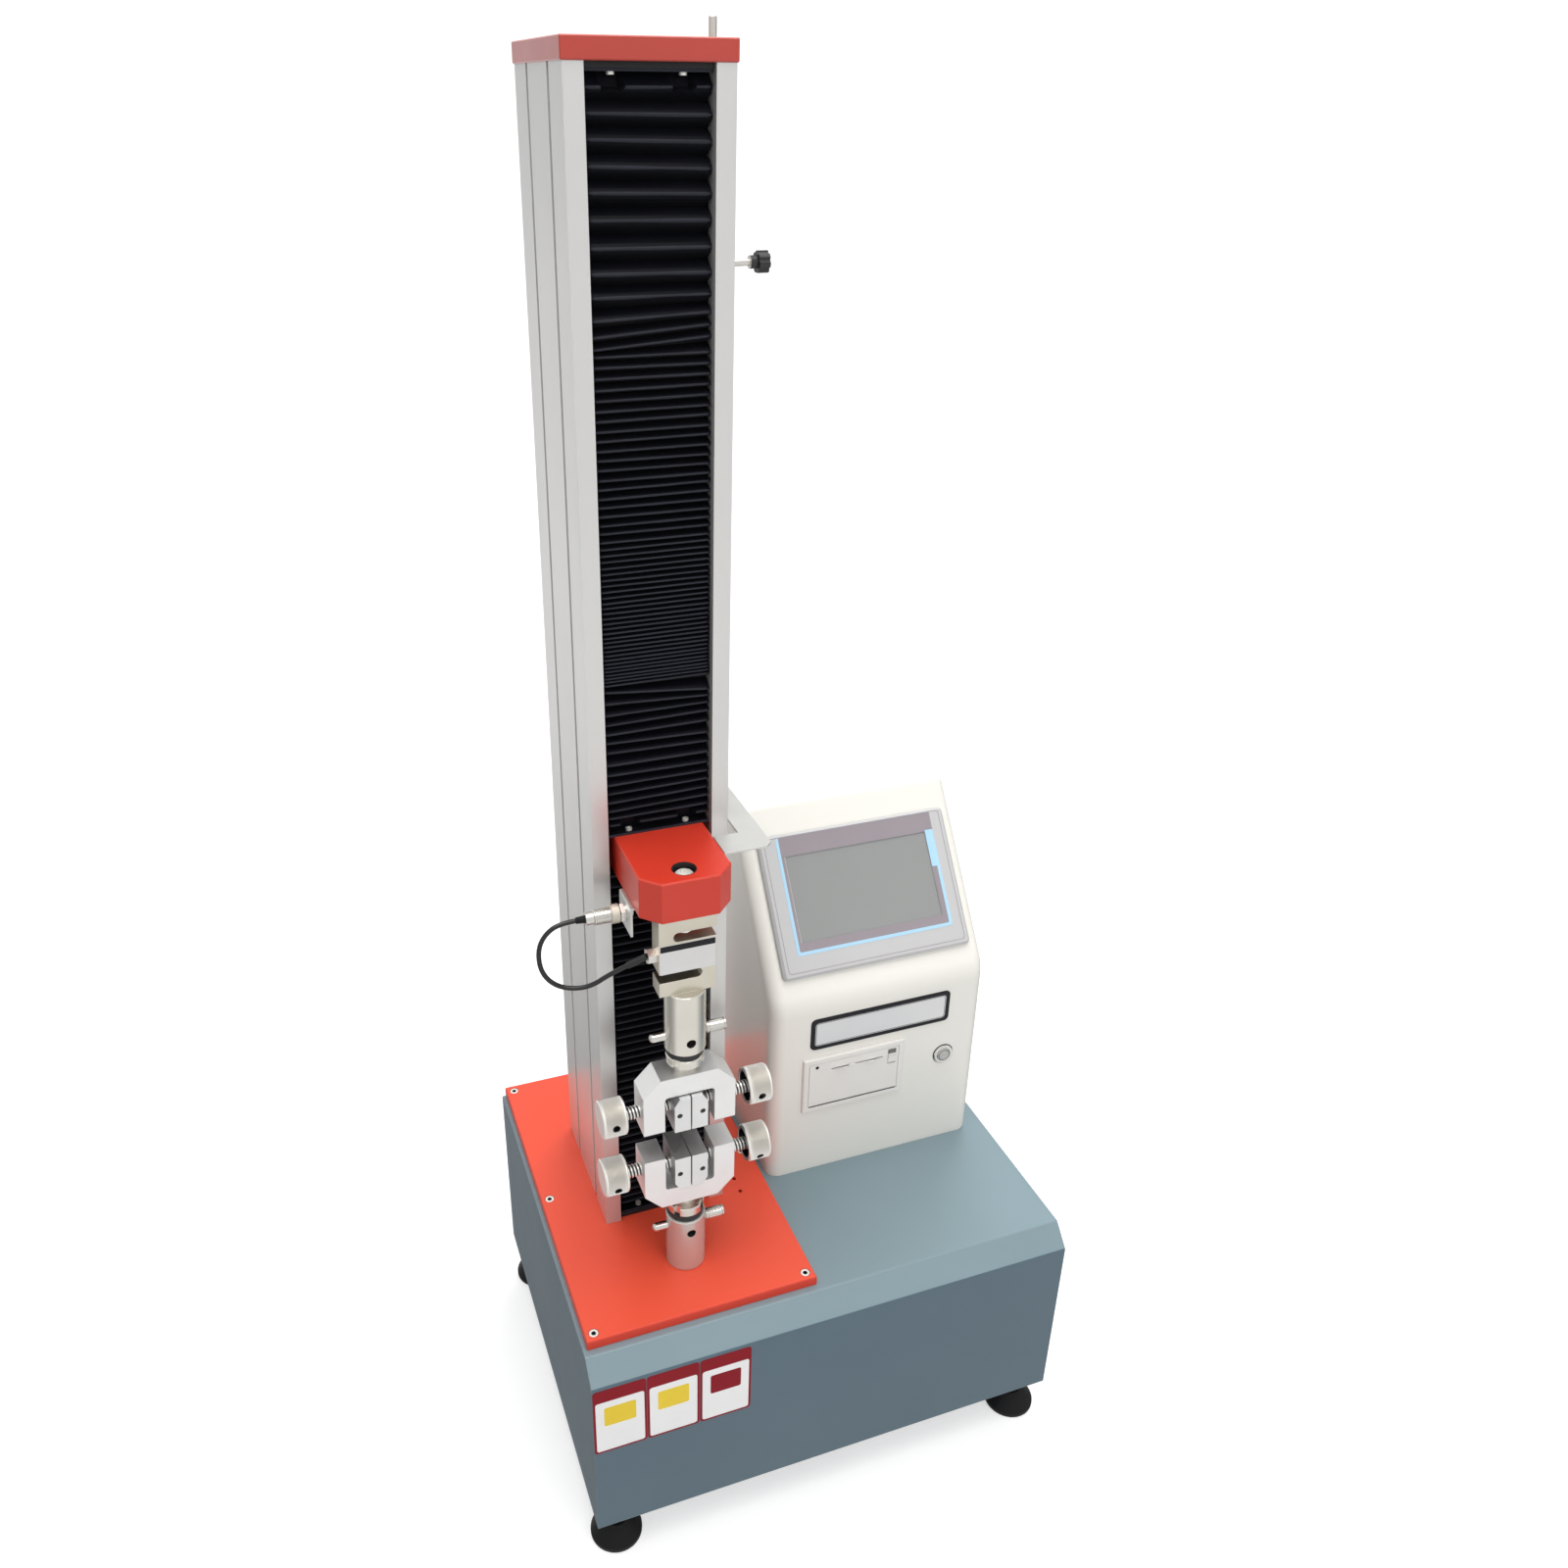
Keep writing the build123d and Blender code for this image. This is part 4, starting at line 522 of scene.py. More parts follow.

# Each finish: two colours that drift into each other and the span of its roughness. Where it has them, also
# grain (scale, depth), streak (stretch, scale, tone, depth), edge (radius, colour of the wear and painted
# highlight, breaks, strength), painted sheen on faces that look up (colour, slopes where it starts and ends),
# coat (weight, roughness), patch (where, colour, roughness)
finishValues = {
    "bluePaint": {
        "colour": (0.068, 0.120, 0.157), "shade": (0.063, 0.112, 0.147), "rough": (0.33, 0.40),
        "grain": (520.0, 0.00005), "edge": (0.0016, (0.26, 0.34, 0.38), 0.4, 0.7), "cloudScale": 5.0,
        "coat": (0.18, 0.3), "specular": 0.42, "paintedTopSheen": ((0.20, 0.275, 0.305), 0.5, 0.66),
    },
    "darkRedPaint": {
        "colour": (0.22, 0.014, 0.014), "shade": (0.18, 0.012, 0.012), "rough": (0.40, 0.50),
        "grain": (700.0, 0.00004),
    },
    "anodisedColumn": {
        "colour": (0.68, 0.675, 0.66), "shade": (0.645, 0.64, 0.63), "rough": (0.27, 0.33), "metal": 0.6,
        "streak": ((1.0, 1.0, 0.004), 1500.0, 0.05, 0.000006),
        "edge": (0.0006, (0.92, 0.92, 0.92), 0.2, 0.7), "cloudScale": 3.0,
    },
    "blastedAluminium": {
        "colour": (0.88, 0.88, 0.875), "shade": (0.84, 0.84, 0.835), "rough": (0.40, 0.46), "metal": 0.9,
        "grain": (2400.0, 0.00003), "edge": (0.0007, (0.95, 0.95, 0.95), 0.1, 0.9), "cloudScale": 20.0,
    },
    "turnedSteel": {
        "colour": (0.74, 0.71, 0.65), "shade": (0.70, 0.67, 0.61), "rough": (0.18, 0.24), "metal": 1.0,
        "turned": 0.5, "streak": ((1.0, 1.0, 40.0), 40.0, 0.04, 0.0),
        "edge": (0.0006, (0.95, 0.94, 0.91), 0.1, 0.9), "cloudScale": 30.0,
    },
    "chromedPin": {
        "colour": (0.72, 0.70, 0.67), "shade": (0.66, 0.64, 0.61), "rough": (0.12, 0.2), "metal": 1.0,
        "grain": (900.0, 0.00001), "edge": (0.0004, (0.95, 0.94, 0.92), 0.2, 0.7), "cloudScale": 40.0,
    },
    "pinSteel": {
        "colour": (0.70, 0.68, 0.64), "shade": (0.64, 0.62, 0.58), "rough": (0.24, 0.30), "metal": 1.0,
        "cloudScale": 50.0,
    },
    "screwSteel": {
        "colour": (0.92, 0.91, 0.87), "shade": (0.86, 0.85, 0.81), "rough": (0.26, 0.34), "metal": 0.5,
        "cloudScale": 60.0,
    },
    "buttonSteel": {  # painted shade in the groove round the button's face
        "colour": (0.50, 0.50, 0.49), "shade": (0.44, 0.44, 0.43), "rough": (0.2, 0.28), "metal": 0.8,
        "cloudScale": 60.0,
        "patch": ((("within", "y", (0.1848, 0.369), 0.0064), ("outside", "y", (0.1848, 0.369), 0.0056)),
                  (0.045, 0.045, 0.045), 0.4),
    },
    "brushedSheet": {
        "colour": (0.66, 0.66, 0.64), "shade": (0.58, 0.58, 0.565), "rough": (0.28, 0.38), "metal": 0.65,
        "streak": ((1.0, 0.03, 1.0), 700.0, 0.09, 0.000002), "edge": (0.0005, (0.95, 0.95, 0.94), 0.2, 0.8),
        "cloudScale": 18.0,
    },
    "mattNickel": {
        "colour": (0.68, 0.64, 0.55), "shade": (0.61, 0.57, 0.48), "rough": (0.30, 0.38), "metal": 1.0,
        "grain": (1500.0, 0.00001), "edge": (0.0006, (0.95, 0.92, 0.85), 0.2, 0.8), "cloudScale": 26.0,
    },
    "knurledNickel": {
        "colour": (0.96, 0.94, 0.90), "shade": (0.90, 0.88, 0.84), "rough": (0.30, 0.38), "metal": 0.85,
        "cloudScale": 40.0,
    },
    "knurlPitShade": {
        "colour": (0.68, 0.66, 0.625), "shade": (0.61, 0.59, 0.56), "rough": (0.40, 0.48), "metal": 0.85,
        "cloudScale": 40.0,
    },
    "groundJaw": {
        "colour": (0.80, 0.80, 0.80), "shade": (0.74, 0.74, 0.745), "rough": (0.30, 0.36), "metal": 0.92,
        "streak": ((0.03, 1.0, 1.0), 1100.0, 0.04, 0.000001),
        "edge": (0.0005, (0.88, 0.88, 0.88), 0.1, 0.9), "cloudScale": 30.0,
    },
    "darkSteelAndShade": {
        "colour": (0.12, 0.12, 0.125), "shade": (0.08, 0.08, 0.085), "rough": (0.3, 0.42), "metal": 1.0,
        "grain": (1200.0, 0.00002), "edge": (0.0005, (0.5, 0.5, 0.5), 0.4, 0.6), "cloudScale": 30.0,
    },
    "blackRubber": {
        "colour": (0.007, 0.007, 0.008), "shade": (0.010, 0.010, 0.011), "rough": (0.42, 0.52),
        "specular": 0.16, "grain": (900.0, 0.00004), "edge": (0.0008, (0.05, 0.05, 0.05), 0.5, 0.5),
        "cloudScale": 30.0,
    },
    "cordSheath": {
        "colour": (0.006, 0.006, 0.007), "shade": (0.010, 0.010, 0.011), "rough": (0.24, 0.32),
        "grain": (1600.0, 0.00001), "cloudScale": 60.0,
    },
    "blackPlastic": {
        "colour": (0.018, 0.018, 0.019), "shade": (0.026, 0.026, 0.028), "rough": (0.36, 0.46),
        "grain": (1500.0, 0.00003), "edge": (0.0005, (0.07, 0.07, 0.07), 0.4, 0.5), "cloudScale": 40.0,
    },
    "creamShell": {
        "colour": (0.795, 0.78, 0.73), "shade": (0.785, 0.77, 0.72), "rough": (0.25, 0.27),
        "grain": (420.0, 0.00001), "edge": (0.0016, (0.88, 0.87, 0.83), 0.2, 0.4), "cloudScale": 4.0,
        "coat": (0.18, 0.2),
    },
    "creamPlastic": {
        "colour": (0.77, 0.755, 0.72), "shade": (0.75, 0.735, 0.70), "rough": (0.34, 0.42),
        "grain": (1400.0, 0.00003), "edge": (0.0005, (0.92, 0.91, 0.87), 0.2, 0.5), "cloudScale": 20.0,
    },
    "greyBezel": {
        "colour": (0.51, 0.51, 0.515), "shade": (0.495, 0.495, 0.50), "rough": (0.28, 0.34),
        "grain": (1700.0, 0.00003), "edge": (0.0006, (0.80, 0.80, 0.84), 0.2, 0.6), "cloudScale": 12.0,
    },
    "panelGrey": {
        "colour": (0.281, 0.250, 0.275), "shade": (0.271, 0.241, 0.265), "rough": (0.3, 0.36),
        "grain": (2600.0, 0.00001), "cloudScale": 10.0,
    },
    "panelBlue": {
        "colour": (0.40, 0.64, 0.82), "shade": (0.385, 0.62, 0.80), "rough": (0.3, 0.36),
        "grain": (2600.0, 0.00001), "cloudScale": 10.0,
    },
    "mattScreen": {
        "colour": (0.260, 0.268, 0.265), "shade": (0.252, 0.260, 0.257), "rough": (0.22, 0.28),
        "grain": (3000.0, 0.000006), "cloudScale": 6.0, "coat": (0.3, 0.3),
    },
    "motorBlack": {
        "colour": (0.012, 0.012, 0.013), "shade": (0.018, 0.018, 0.02), "rough": (0.42, 0.52),
        "specular": 0.25, "grain": (800.0, 0.00004), "edge": (0.0008, (0.06, 0.06, 0.06), 0.5, 0.6),
        "cloudScale": 14.0,
    },
    "whiteFilm": {
        "colour": (0.86, 0.86, 0.86), "shade": (0.83, 0.83, 0.83), "rough": (0.3, 0.4),
        "grain": (2200.0, 0.000008), "cloudScale": 20.0,
    },
    "crimsonFilm": {
        "colour": (0.25, 0.004, 0.012), "shade": (0.23, 0.004, 0.011), "rough": (0.34, 0.42),
        "specular": 0.12, "grain": (2200.0, 0.000008), "cloudScale": 20.0,
    },
    "yellowFilm": {
        "colour": (0.82, 0.60, 0.012), "shade": (0.78, 0.56, 0.010), "rough": (0.3, 0.4),
        "grain": (2200.0, 0.000008), "cloudScale": 20.0,
    },
    "darkFilm": {
        "colour": (0.010, 0.010, 0.013), "shade": (0.013, 0.013, 0.016), "rough": (0.30, 0.38),
        "specular": 0.2, "grain": (2200.0, 0.000008), "cloudScale": 20.0,
    },
    "silverFilm": {
        "colour": (0.74, 0.74, 0.745), "shade": (0.70, 0.70, 0.705), "rough": (0.3, 0.36), "metal": 0.6,
        "streak": ((0.02, 1.0, 1.0), 1300.0, 0.06, 0.000004), "cloudScale": 12.0,
    },
}

# Finishes that are another one with changes, most of them with a patch: where it lies, its colour and gloss
gripAxis = (-0.125, -0.101)  # x and y of the upright line through the grips
# Painted shade inside bores, sight holes and screw sockets
paintedBoreShade = (0.012, 0.010, 0.010)
pinLevels = {"upper": 0.5348, "lower": 0.3130}
sightHoles = {level: (("within", "y", (gripAxis[0], height), 0.0043), ("below", "y", gripAxis[1]))
              for level, height in pinLevels.items()}
changedFinishes = (
    # The plate's copy of the red paint is lighter, painted light; the cap's copy is darker, painted shade
    ("platePaint", redPaintValues, {
        "colour": (0.66, 0.048, 0.020), "shade": (0.63, 0.043, 0.018),
        "paintedTopSheen": ((0.76, 0.082, 0.040), 0.8, 0.97)}),
    ("capPaint", redPaintValues, {
        "colour": (0.44, 0.034, 0.018), "shade": (0.41, 0.031, 0.016), "coat": (0.8, 0.22)}),
    ("blockPaint", redPaintValues, {  # painted shade inside the big screw's counterbore
        "patch": ((("within", "z", gripAxis, 0.0106),), paintedBoreShade, 0.5)}),
    ("labelFilm", finishValues["whiteFilm"], {
        "colour": (0.68, 0.68, 0.675), "shade": (0.65, 0.65, 0.645)}),
    ("shankAndBand", finishValues["turnedSteel"], {  # with a soft black band round it
        "patch": ((("outside", "z", gripAxis, 0.0103),), (0.015, 0.015, 0.016), 0.5)}),
    # painted shade inside the sight holes of the sockets
    ("upperSocketSteel", finishValues["turnedSteel"], {
        "patch": (sightHoles["upper"], paintedBoreShade, 0.5)}),
    ("lowerSocketSteel", finishValues["turnedSteel"], {  # duller, so that it takes less of the red plate
        "colour": (0.62, 0.60, 0.56), "shade": (0.55, 0.53, 0.50), "metal": 0.55,
        "patch": (sightHoles["lower"], paintedBoreShade, 0.5)}),
    ("glandAndSleeve", finishValues["pinSteel"], {
        "patch": ((("below", "x", -0.1586),), finishValues["blackRubber"]["colour"], 0.45)}),
    ("stopKnobSteel", finishValues["pinSteel"], {
        "patch": ((("above", "x", -0.0254),), finishValues["blackPlastic"]["colour"], 0.4)}),
    ("plateScrewSteel", finishValues["screwSteel"], {  # painted shade inside the sockets of the screws
        "patch": ((("above", "z", 0.2560), ("below", "z", 0.26575)), paintedBoreShade, 0.5)}),
    ("latchPlastic", finishValues["creamPlastic"], {  # its ridged top is grey
        "patch": ((("above", "z", 0.3888),), (0.16, 0.155, 0.15), 0.45)}),
)
for name, base, changes in changedFinishes:
    finishValues[name] = {**base, **changes}
finishes = {name: makeFinish(name, values) for name, values in finishValues.items()}


# Bellows cloth: close woven, coated, with a painted highlight along the ridges
clothValues = {
    "colour": (0.0022, 0.0024, 0.0045), "shade": (0.0034, 0.0036, 0.0065), "ridge": (0.026, 0.028, 0.036),
    "ridgeFront": -0.03305, "ridgeBack": -0.03265, "weave": 2400.0, "weaveDepth": 0.00002,
    "rough": (0.5, 0.62), "cloudScale": 14.0, "specular": 0.1, "sheen": 0.015,
}


def makeClothMaterial():
    values = clothValues
    material, tree, shader, place = startMaterial("bellowsCloth")
    cloud = useGroup(tree, cloudiness, Vector=place, Scale=values["cloudScale"]).outputs["Value"]
    colour = mixColour(tree, cloud, values["colour"], values["shade"])
    # painted highlight: the fronts of the ridges are lighter
    front = rangeNode(tree, coordinate(tree, place, "y"), values["ridgeBack"], values["ridgeFront"])
    feed(tree, shader.inputs["Base Color"], mixColour(tree, front, colour, values["ridge"]))
    feed(tree, shader.inputs["Roughness"], rangeNode(tree, cloud, 0.0, 1.0, *values["rough"]))
    warp, weft = (mathNode(tree, "SINE", times(tree, coordinate(tree, place, axis), values["weave"] * 2))
                  for axis in "xy")
    bump = addNode(tree, "ShaderNodeBump")
    bump.inputs["Distance"].default_value = 1.0
    feed(tree, bump.inputs["Height"], times(tree, times(tree, warp, weft), values["weaveDepth"]))
    feed(tree, shader.inputs["Normal"], bump.outputs[0])
    shader.inputs["Specular IOR Level"].default_value = values["specular"]
    shader.inputs["Sheen Weight"].default_value = values["sheen"]
    return material


finishes["bellowsCloth"] = makeClothMaterial()
print("finishes made")


# What every piece needs: its finishes, the body it rides on, the CAD node it stands for
def dress(piece, finishNames, body, replaced=None):
    for finishName in finishNames:
        piece.data.materials.append(finishes[finishName])
    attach(piece, body)
    if replaced:
        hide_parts(replaced)


# Bellows, fold by fold, with the ridge heights that the photograph shows
bellowsValues = {
    "left": -0.170, "right": -0.080, "ridge": -0.0330, "valley": -0.0222, "columns": 26, "cloth": 0.0005,
    "upperTop": 1.2835, "upperBottom": 0.7005, "lowerTop": 0.6625, "lowerBottom": 0.2705, "travel": 0.44,
    "flange": 0.002, "flangeFace": 0.0115, "flangeCorner": 0.0008, "flangeMiddle": -0.02775,
    "screws": (-0.1505, -0.0995), "screwRoom": (0.0058, 0.0105), "screwBack": -0.0245,
    "foldShape": ((0.80, 0.46), (1.0, 0.5), (1.0, -0.5), (0.80, -0.18), (0.35, -0.34), (0.0, -0.5)),
    "hem": 0.0006, "hemShare": 0.16, "edgePull": 0.0008, "edgeShare": 0.07,
    "wave": 0.0004, "waveScale": (30, 0.7), "waveLift": 0.35, "waveRoom": 0.008,
    "closedUpper": (1.1058, 0.9596, 0.0078, 0.0066, 0.0005), "crease": (0.9596, 0.9590),
    "closedMiddle": (0.9593, 0.8376, 0.0053, 0.0029, 0.0003),
    "lowerRoom": 0.004, "lowerPitch": (0.0086, 0.0084, 0.0006),
}
openFoldsTop = (  # left and right height of each ridge, from above
    (1.2720, 1.2727), (1.2562, 1.2554), (1.2403, 1.2387), (1.2236, 1.2215), (1.2070, 1.2055),
    (1.1893, 1.1883), (1.1710, 1.1704), (1.1541, 1.1533), (1.1382, 1.1384), (1.1223, 1.1259),
    (1.1111, 1.1173), (1.1027, 1.1090),
)
openFoldsBottom = (
    (0.8348, 0.8262), (0.8244, 0.8206), (0.8139, 0.8144), (0.8051, 0.8069), (0.7966, 0.7978),
    (0.7890, 0.7866), (0.7800, 0.7786), (0.7684, 0.7685), (0.7591, 0.7587), (0.7500, 0.7505),
    (0.7416, 0.7429), (0.7331, 0.7348), (0.7250, 0.7269), (0.7180, 0.7187), (0.7113, 0.7111),
)


def closedFolds(top, bottom, firstPitch, lastPitch, sway, rng):
    # Ridge heights between two open stretches, drawing closer as they go down.
    count = round((top - bottom) / ((firstPitch + lastPitch) / 2))
    share, total = [], 0.0
    for step in range(count):
        total += firstPitch + (lastPitch - firstPitch) * step / max(1, count - 1)
        share.append(total)
    ridges = []
    for reach in share[:-1]:
        z = top - (top - bottom) * reach / total
        ridges.append((z + rng.uniform(-sway, sway), z + rng.uniform(-sway, sway)))
    return ridges


def bellowsPiece(name, z0, z1, ridges, rng):
    values = bellowsValues
    columns = values["columns"]
    top, bottom = z1 - values["flange"], z0 + values["flange"]
    screwAcross, screwUp = values["screwRoom"]
    waveAcross, waveUp = values["waveScale"]
    edges = [(top, top), *ridges, (bottom, bottom)]
    points, rows = [], 0
    for number, (left, right) in enumerate(edges):
        nextPair = edges[number + 1] if number + 1 < len(edges) else None
        previous = edges[number - 1] if number else None
        gap = min(abs(left - pair[0]) for pair in (previous, nextPair) if pair)
        hem = min(values["hem"], gap * values["hemShare"])
        sag = rng.uniform(-1, 1)
        inside = previous and nextPair
        stations = values["foldShape"] if inside else [(0.0, 0.0)]  # both ends lie in a valley
        for depth, shift in stations:
            rows += 1
            for column in range(columns):
                across = column / (columns - 1)
                x = values["left"] + (values["right"] - values["left"]) * across
                level = left + (right - left) * across
                other = (nextPair if shift < 0 else previous) or nextPair
                reach = abs((other[0] + (other[1] - other[0]) * across) - level)
                if previous and shift > 0:
                    z = level + (reach * values["hemShare"] if depth < 1 else hem * 0.5)
                else:
                    z = level + shift * reach if depth < 1 else level - hem * 0.5
                wave = values["wave"] * noise.noise(Vector((x * waveAcross, number * waveUp, sag)))
                pull = max(0.0, abs(across - 0.5) * 2 - (1 - values["edgeShare"])) / values["edgeShare"]
                y = values["valley"] + (values["ridge"] - values["valley"]) * depth
                y += (values["edgePull"] * pull + wave) * depth
                z += values["waveLift"] * wave * min(1.0, reach / values["waveRoom"])
                nearScrew = min(abs(x - screw) for screw in values["screws"]) < screwAcross
                if nearScrew and min(z - bottom, top - z) < screwUp:
                    y = max(y, values["screwBack"])  # the end folds are dented by the flange's screws
                points.append((x, y, min(max(z, bottom), top)))
    piece = meshPiece(name, points, gridFaces(rows, columns), smooth=False)
    skin = piece.modifiers.new("skin", "SOLIDIFY")
    skin.thickness, skin.offset = values["cloth"], -1
    return piece


def endFlanges(name, levels, body):
    # Flat strips that hold the cloth's two ends.
    values = bellowsValues
    width, middle = values["right"] - values["left"], (values["left"] + values["right"]) / 2
    loop = roundedLoop(width, values["flangeFace"], values["flangeCorner"], 3)
    strip = plateMesh(loop, 0, values["flange"], 0.0003)
    places = [Matrix.Translation((middle, values["flangeMiddle"], low)) for low in levels]
    strips = joinShapes(name, [(*placed(strip, place), 0) for place in places])
    dress(strips, ["bellowsCloth"], body)


def addBellows():
    values = bellowsValues
    rng = random.Random(7)
    upperRidges = [*openFoldsTop, *closedFolds(*values["closedUpper"], rng), values["crease"]]
    upperRidges += [*closedFolds(*values["closedMiddle"], rng), *openFoldsBottom]
    upper = bellowsPiece("upperBellows", values["upperBottom"], values["upperTop"], upperRidges, rng)
    lowTop, lowBottom = values["lowerTop"] - values["lowerRoom"], values["lowerBottom"] + values["lowerRoom"]
    lowerRidges = closedFolds(lowTop, lowBottom, *values["lowerPitch"], rng)
    lower = bellowsPiece("lowerBellows", values["lowerBottom"], values["lowerTop"], lowerRidges, rng)
    for piece in (upper, lower):
        piece.data.materials.append(finishes["bellowsCloth"])
    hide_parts("upper_bellows")
    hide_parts("lower_bellows")
    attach(upper, "frame")
    flange = values["flange"]
    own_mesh(upper)
    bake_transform(lower)
    endFlanges("columnFlanges", (values["upperTop"] - flange, values["lowerBottom"]), "frame")
    endFlanges("crossheadFlanges", (values["upperBottom"], values["lowerTop"] - flange), "crosshead")


addBellows()
print("bellows made")


# Hand knobs: a helical thread, a fine diamond knurl, a cup towards the grip and a bar hole
knobPieceValues = {
    "radius": 0.0170, "length": 0.022, "standOff": 0.0142, "hub": 0.0060, "faceEdge": 0.0022,
    "rimEdge": 0.0010, "cupRadius": 0.0134, "cupDepth": 0.012, "cupEdge": 0.0004, "cupShadeSpan": (0.0002, 0.0205),
    "threadRadius": 0.0060, "threadDepth": 0.0009, "threadPitch": 0.003, "threadRoot": 0.0004,
    "tip": 0.0109, "rodShort": 0.009, "gripHalf": 0.043,
    "knurlCount": 74, "knurlDepth": 0.0005, "knurlFrom": 0.0015, "knurlFade": 0.0006, "pitLevel": 0.00045,
    "barHoleRadius": 0.0034, "barHoleSpan": (0.001, 0.03), "barHoleOffset": 0.004,
    "turns": {"upper_left": -2, "upper_right": 6, "lower_left": -14, "lower_right": -21},
    "levels": {"upper": 0.4578, "lower": 0.3900},
}


def threadShape(start, end):
    # A right-handed trapezoidal thread along Z.
    values = knobPieceValues
    sides, step = 48, 0.00025
    count = int(round((end - start) / step))
    rings = [(start + (end - start) * i / count, values["threadRadius"]) for i in range(count + 1)]

    def radiusAt(z, radius, angle):
        phase = (z / values["threadPitch"] - angle / (2 * math.pi)) % 1.0
        crest = min(1.0, max(0.0, 2.6 - abs(phase - 0.5) * 8))  # flat crests and roots, sloping flanks
        return radius - values["threadDepth"] * (1 - crest)
    return turnedMesh(rings, sides, radiusAt)


def knurledBarrel():
    # Closed cup: outside with its knurl, then the rim, the cup's wall and floor.
    values = knobPieceValues
    length, radius, first = values["length"], values["radius"], values["knurlFrom"]
    hub, rim, cup, cupEdge = values["hub"], values["rimEdge"], values["cupRadius"], values["cupEdge"]
    sides = values["knurlCount"] * 4
    pitch = 2 * math.pi * radius / values["knurlCount"]
    rows = int(round((length - 2 * first) / pitch * 4))
    rings = [(0.0, hub), (0.0, radius - values["faceEdge"]), (0.0, radius - rim), (rim, radius)]
    rings += [(first + (length - 2 * first) * i / rows, radius) for i in range(rows + 1)]
    floor = length - values["cupDepth"]
    rings += [(length - rim, radius), (length, radius - rim), (length, cup + cupEdge),
              (length - cupEdge, cup), (floor, cup), (floor, hub)]
    low, high = first * 0.9, length - first * 0.9

    def radiusAt(z, ringRadius, angle):
        if ringRadius < radius or z <= low or z >= high:
            return ringRadius
        around = angle * radius / pitch
        along = z / pitch
        ridge = max(math.cos(2 * math.pi * (around + along)), math.cos(2 * math.pi * (around - along)))
        fade = min(1.0, (z - low) / values["knurlFade"], (high - z) / values["knurlFade"])
        return ringRadius - values["knurlDepth"] * fade * (0.5 - 0.5 * ridge) * 2
    return turnedMesh(rings, sides, radiusAt)


def addKnob(level, side):
    values = knobPieceValues
    sign = -1 if side == "left" else 1
    origin = Vector((*gripAxis, values["levels"][level]))
    innerEnd = values["gripHalf"] + values["standOff"]
    outer = innerEnd + values["length"]
    # Z of the barrel's own frame looks inwards, so that its cup opens towards the grip.
    inward = axisPlace(origin + Vector((sign * outer, 0, 0)), (0, 0, 1), (-sign, 0, 0))
    barrel = meshPiece(f"{level}{side.capitalize()}Knob", *placed(knurledBarrel(), inward))
    holeRadius = values["barHoleRadius"]
    cutterShape = turnedMesh([(z, holeRadius) for z in values["barHoleSpan"]], 32)
    turn = math.radians(values["turns"][f"{level}_{side}"]) * (1 if level == "upper" else -1)
    direction = Vector((0, -math.cos(turn), -math.sin(turn)))
    middle = origin + Vector((sign * (outer - values["length"] / 2), 0, 0))
    holePlace = axisPlace(middle + direction * values["barHoleOffset"], (1, 0, 0), direction)
    cutAway(barrel, meshPiece("barHoleCutter", *placed(cutterShape, holePlace)))
    outward = axisPlace(origin, (0, 0, 1), (sign, 0, 0))
    rod = meshPiece("threadRod", *placed(threadShape(values["tip"], outer - values["rodShort"]), outward))
    barrel.data.materials.clear()
    for piece in (barrel, rod):
        for finishName in ("knurledNickel", "darkSteelAndShade", "knurlPitShade"):
            piece.data.materials.append(finishes[finishName])
    slack, edge = 0.0001, 0.001
    cupStart, cupEnd = values["cupShadeSpan"]
    for face in barrel.data.polygons:  # painted shade: the bar hole and the cup's inside are dark, the knurl's pits darker
        offset = face.center - middle
        inHole = (offset - offset.project(direction)).length < holeRadius + slack
        reach = face.center - origin
        along, spread = abs(reach.x), math.hypot(reach.y, reach.z)
        inCup = spread < values["cupRadius"] + slack and innerEnd + cupStart < along < innerEnd + cupEnd
        inPit = edge < along - innerEnd < values["length"] - edge
        inPit = inPit and values["cupRadius"] + edge < spread < values["radius"] - values["pitLevel"]
        face.material_index = 1 if inHole or inCup else 2 if inPit else 0
    rootRadius = values["threadRadius"] - values["threadRoot"]
    for face in rod.data.polygons:  # painted shade in the thread's roots as well
        reach = face.center - origin
        face.material_index = 1 if math.hypot(reach.y, reach.z) < rootRadius else 0
    bpy.context.view_layer.update()
    combined = bmesh.new()
    combined.from_mesh(barrel.data)
    combined.from_mesh(rod.data)
    combined.to_mesh(barrel.data)
    combined.free()
    bpy.data.objects.remove(rod)
    for face in barrel.data.polygons:
        face.use_smooth = True
    sharpEdges(barrel, 40)
    node = f"{level}_{side}_knob"
    dress(barrel, [], node, replaced=node)


for gripLevel in ("upper", "lower"):
    for gripSide in ("left", "right"):
        addKnob(gripLevel, gripSide)
print("hand knobs made")


# Cross pins, with a domed tip and a head ridged along its length
crossPinValues = {
    "radius": 0.0040, "headRadius": 0.0054, "headLength": 0.019, "ridges": 16, "ridgeDepth": 0.0002,
    "grooveDepth": 0.0006, "left": -0.1576, "headStart": -0.1061,
    "tip": ((0.0, 0.0006), (0.00025, 0.0016), (0.0009, 0.0028), (0.0017, 0.0035), (0.0027, 0.0039),
            (0.0036, 0.0040)),
}


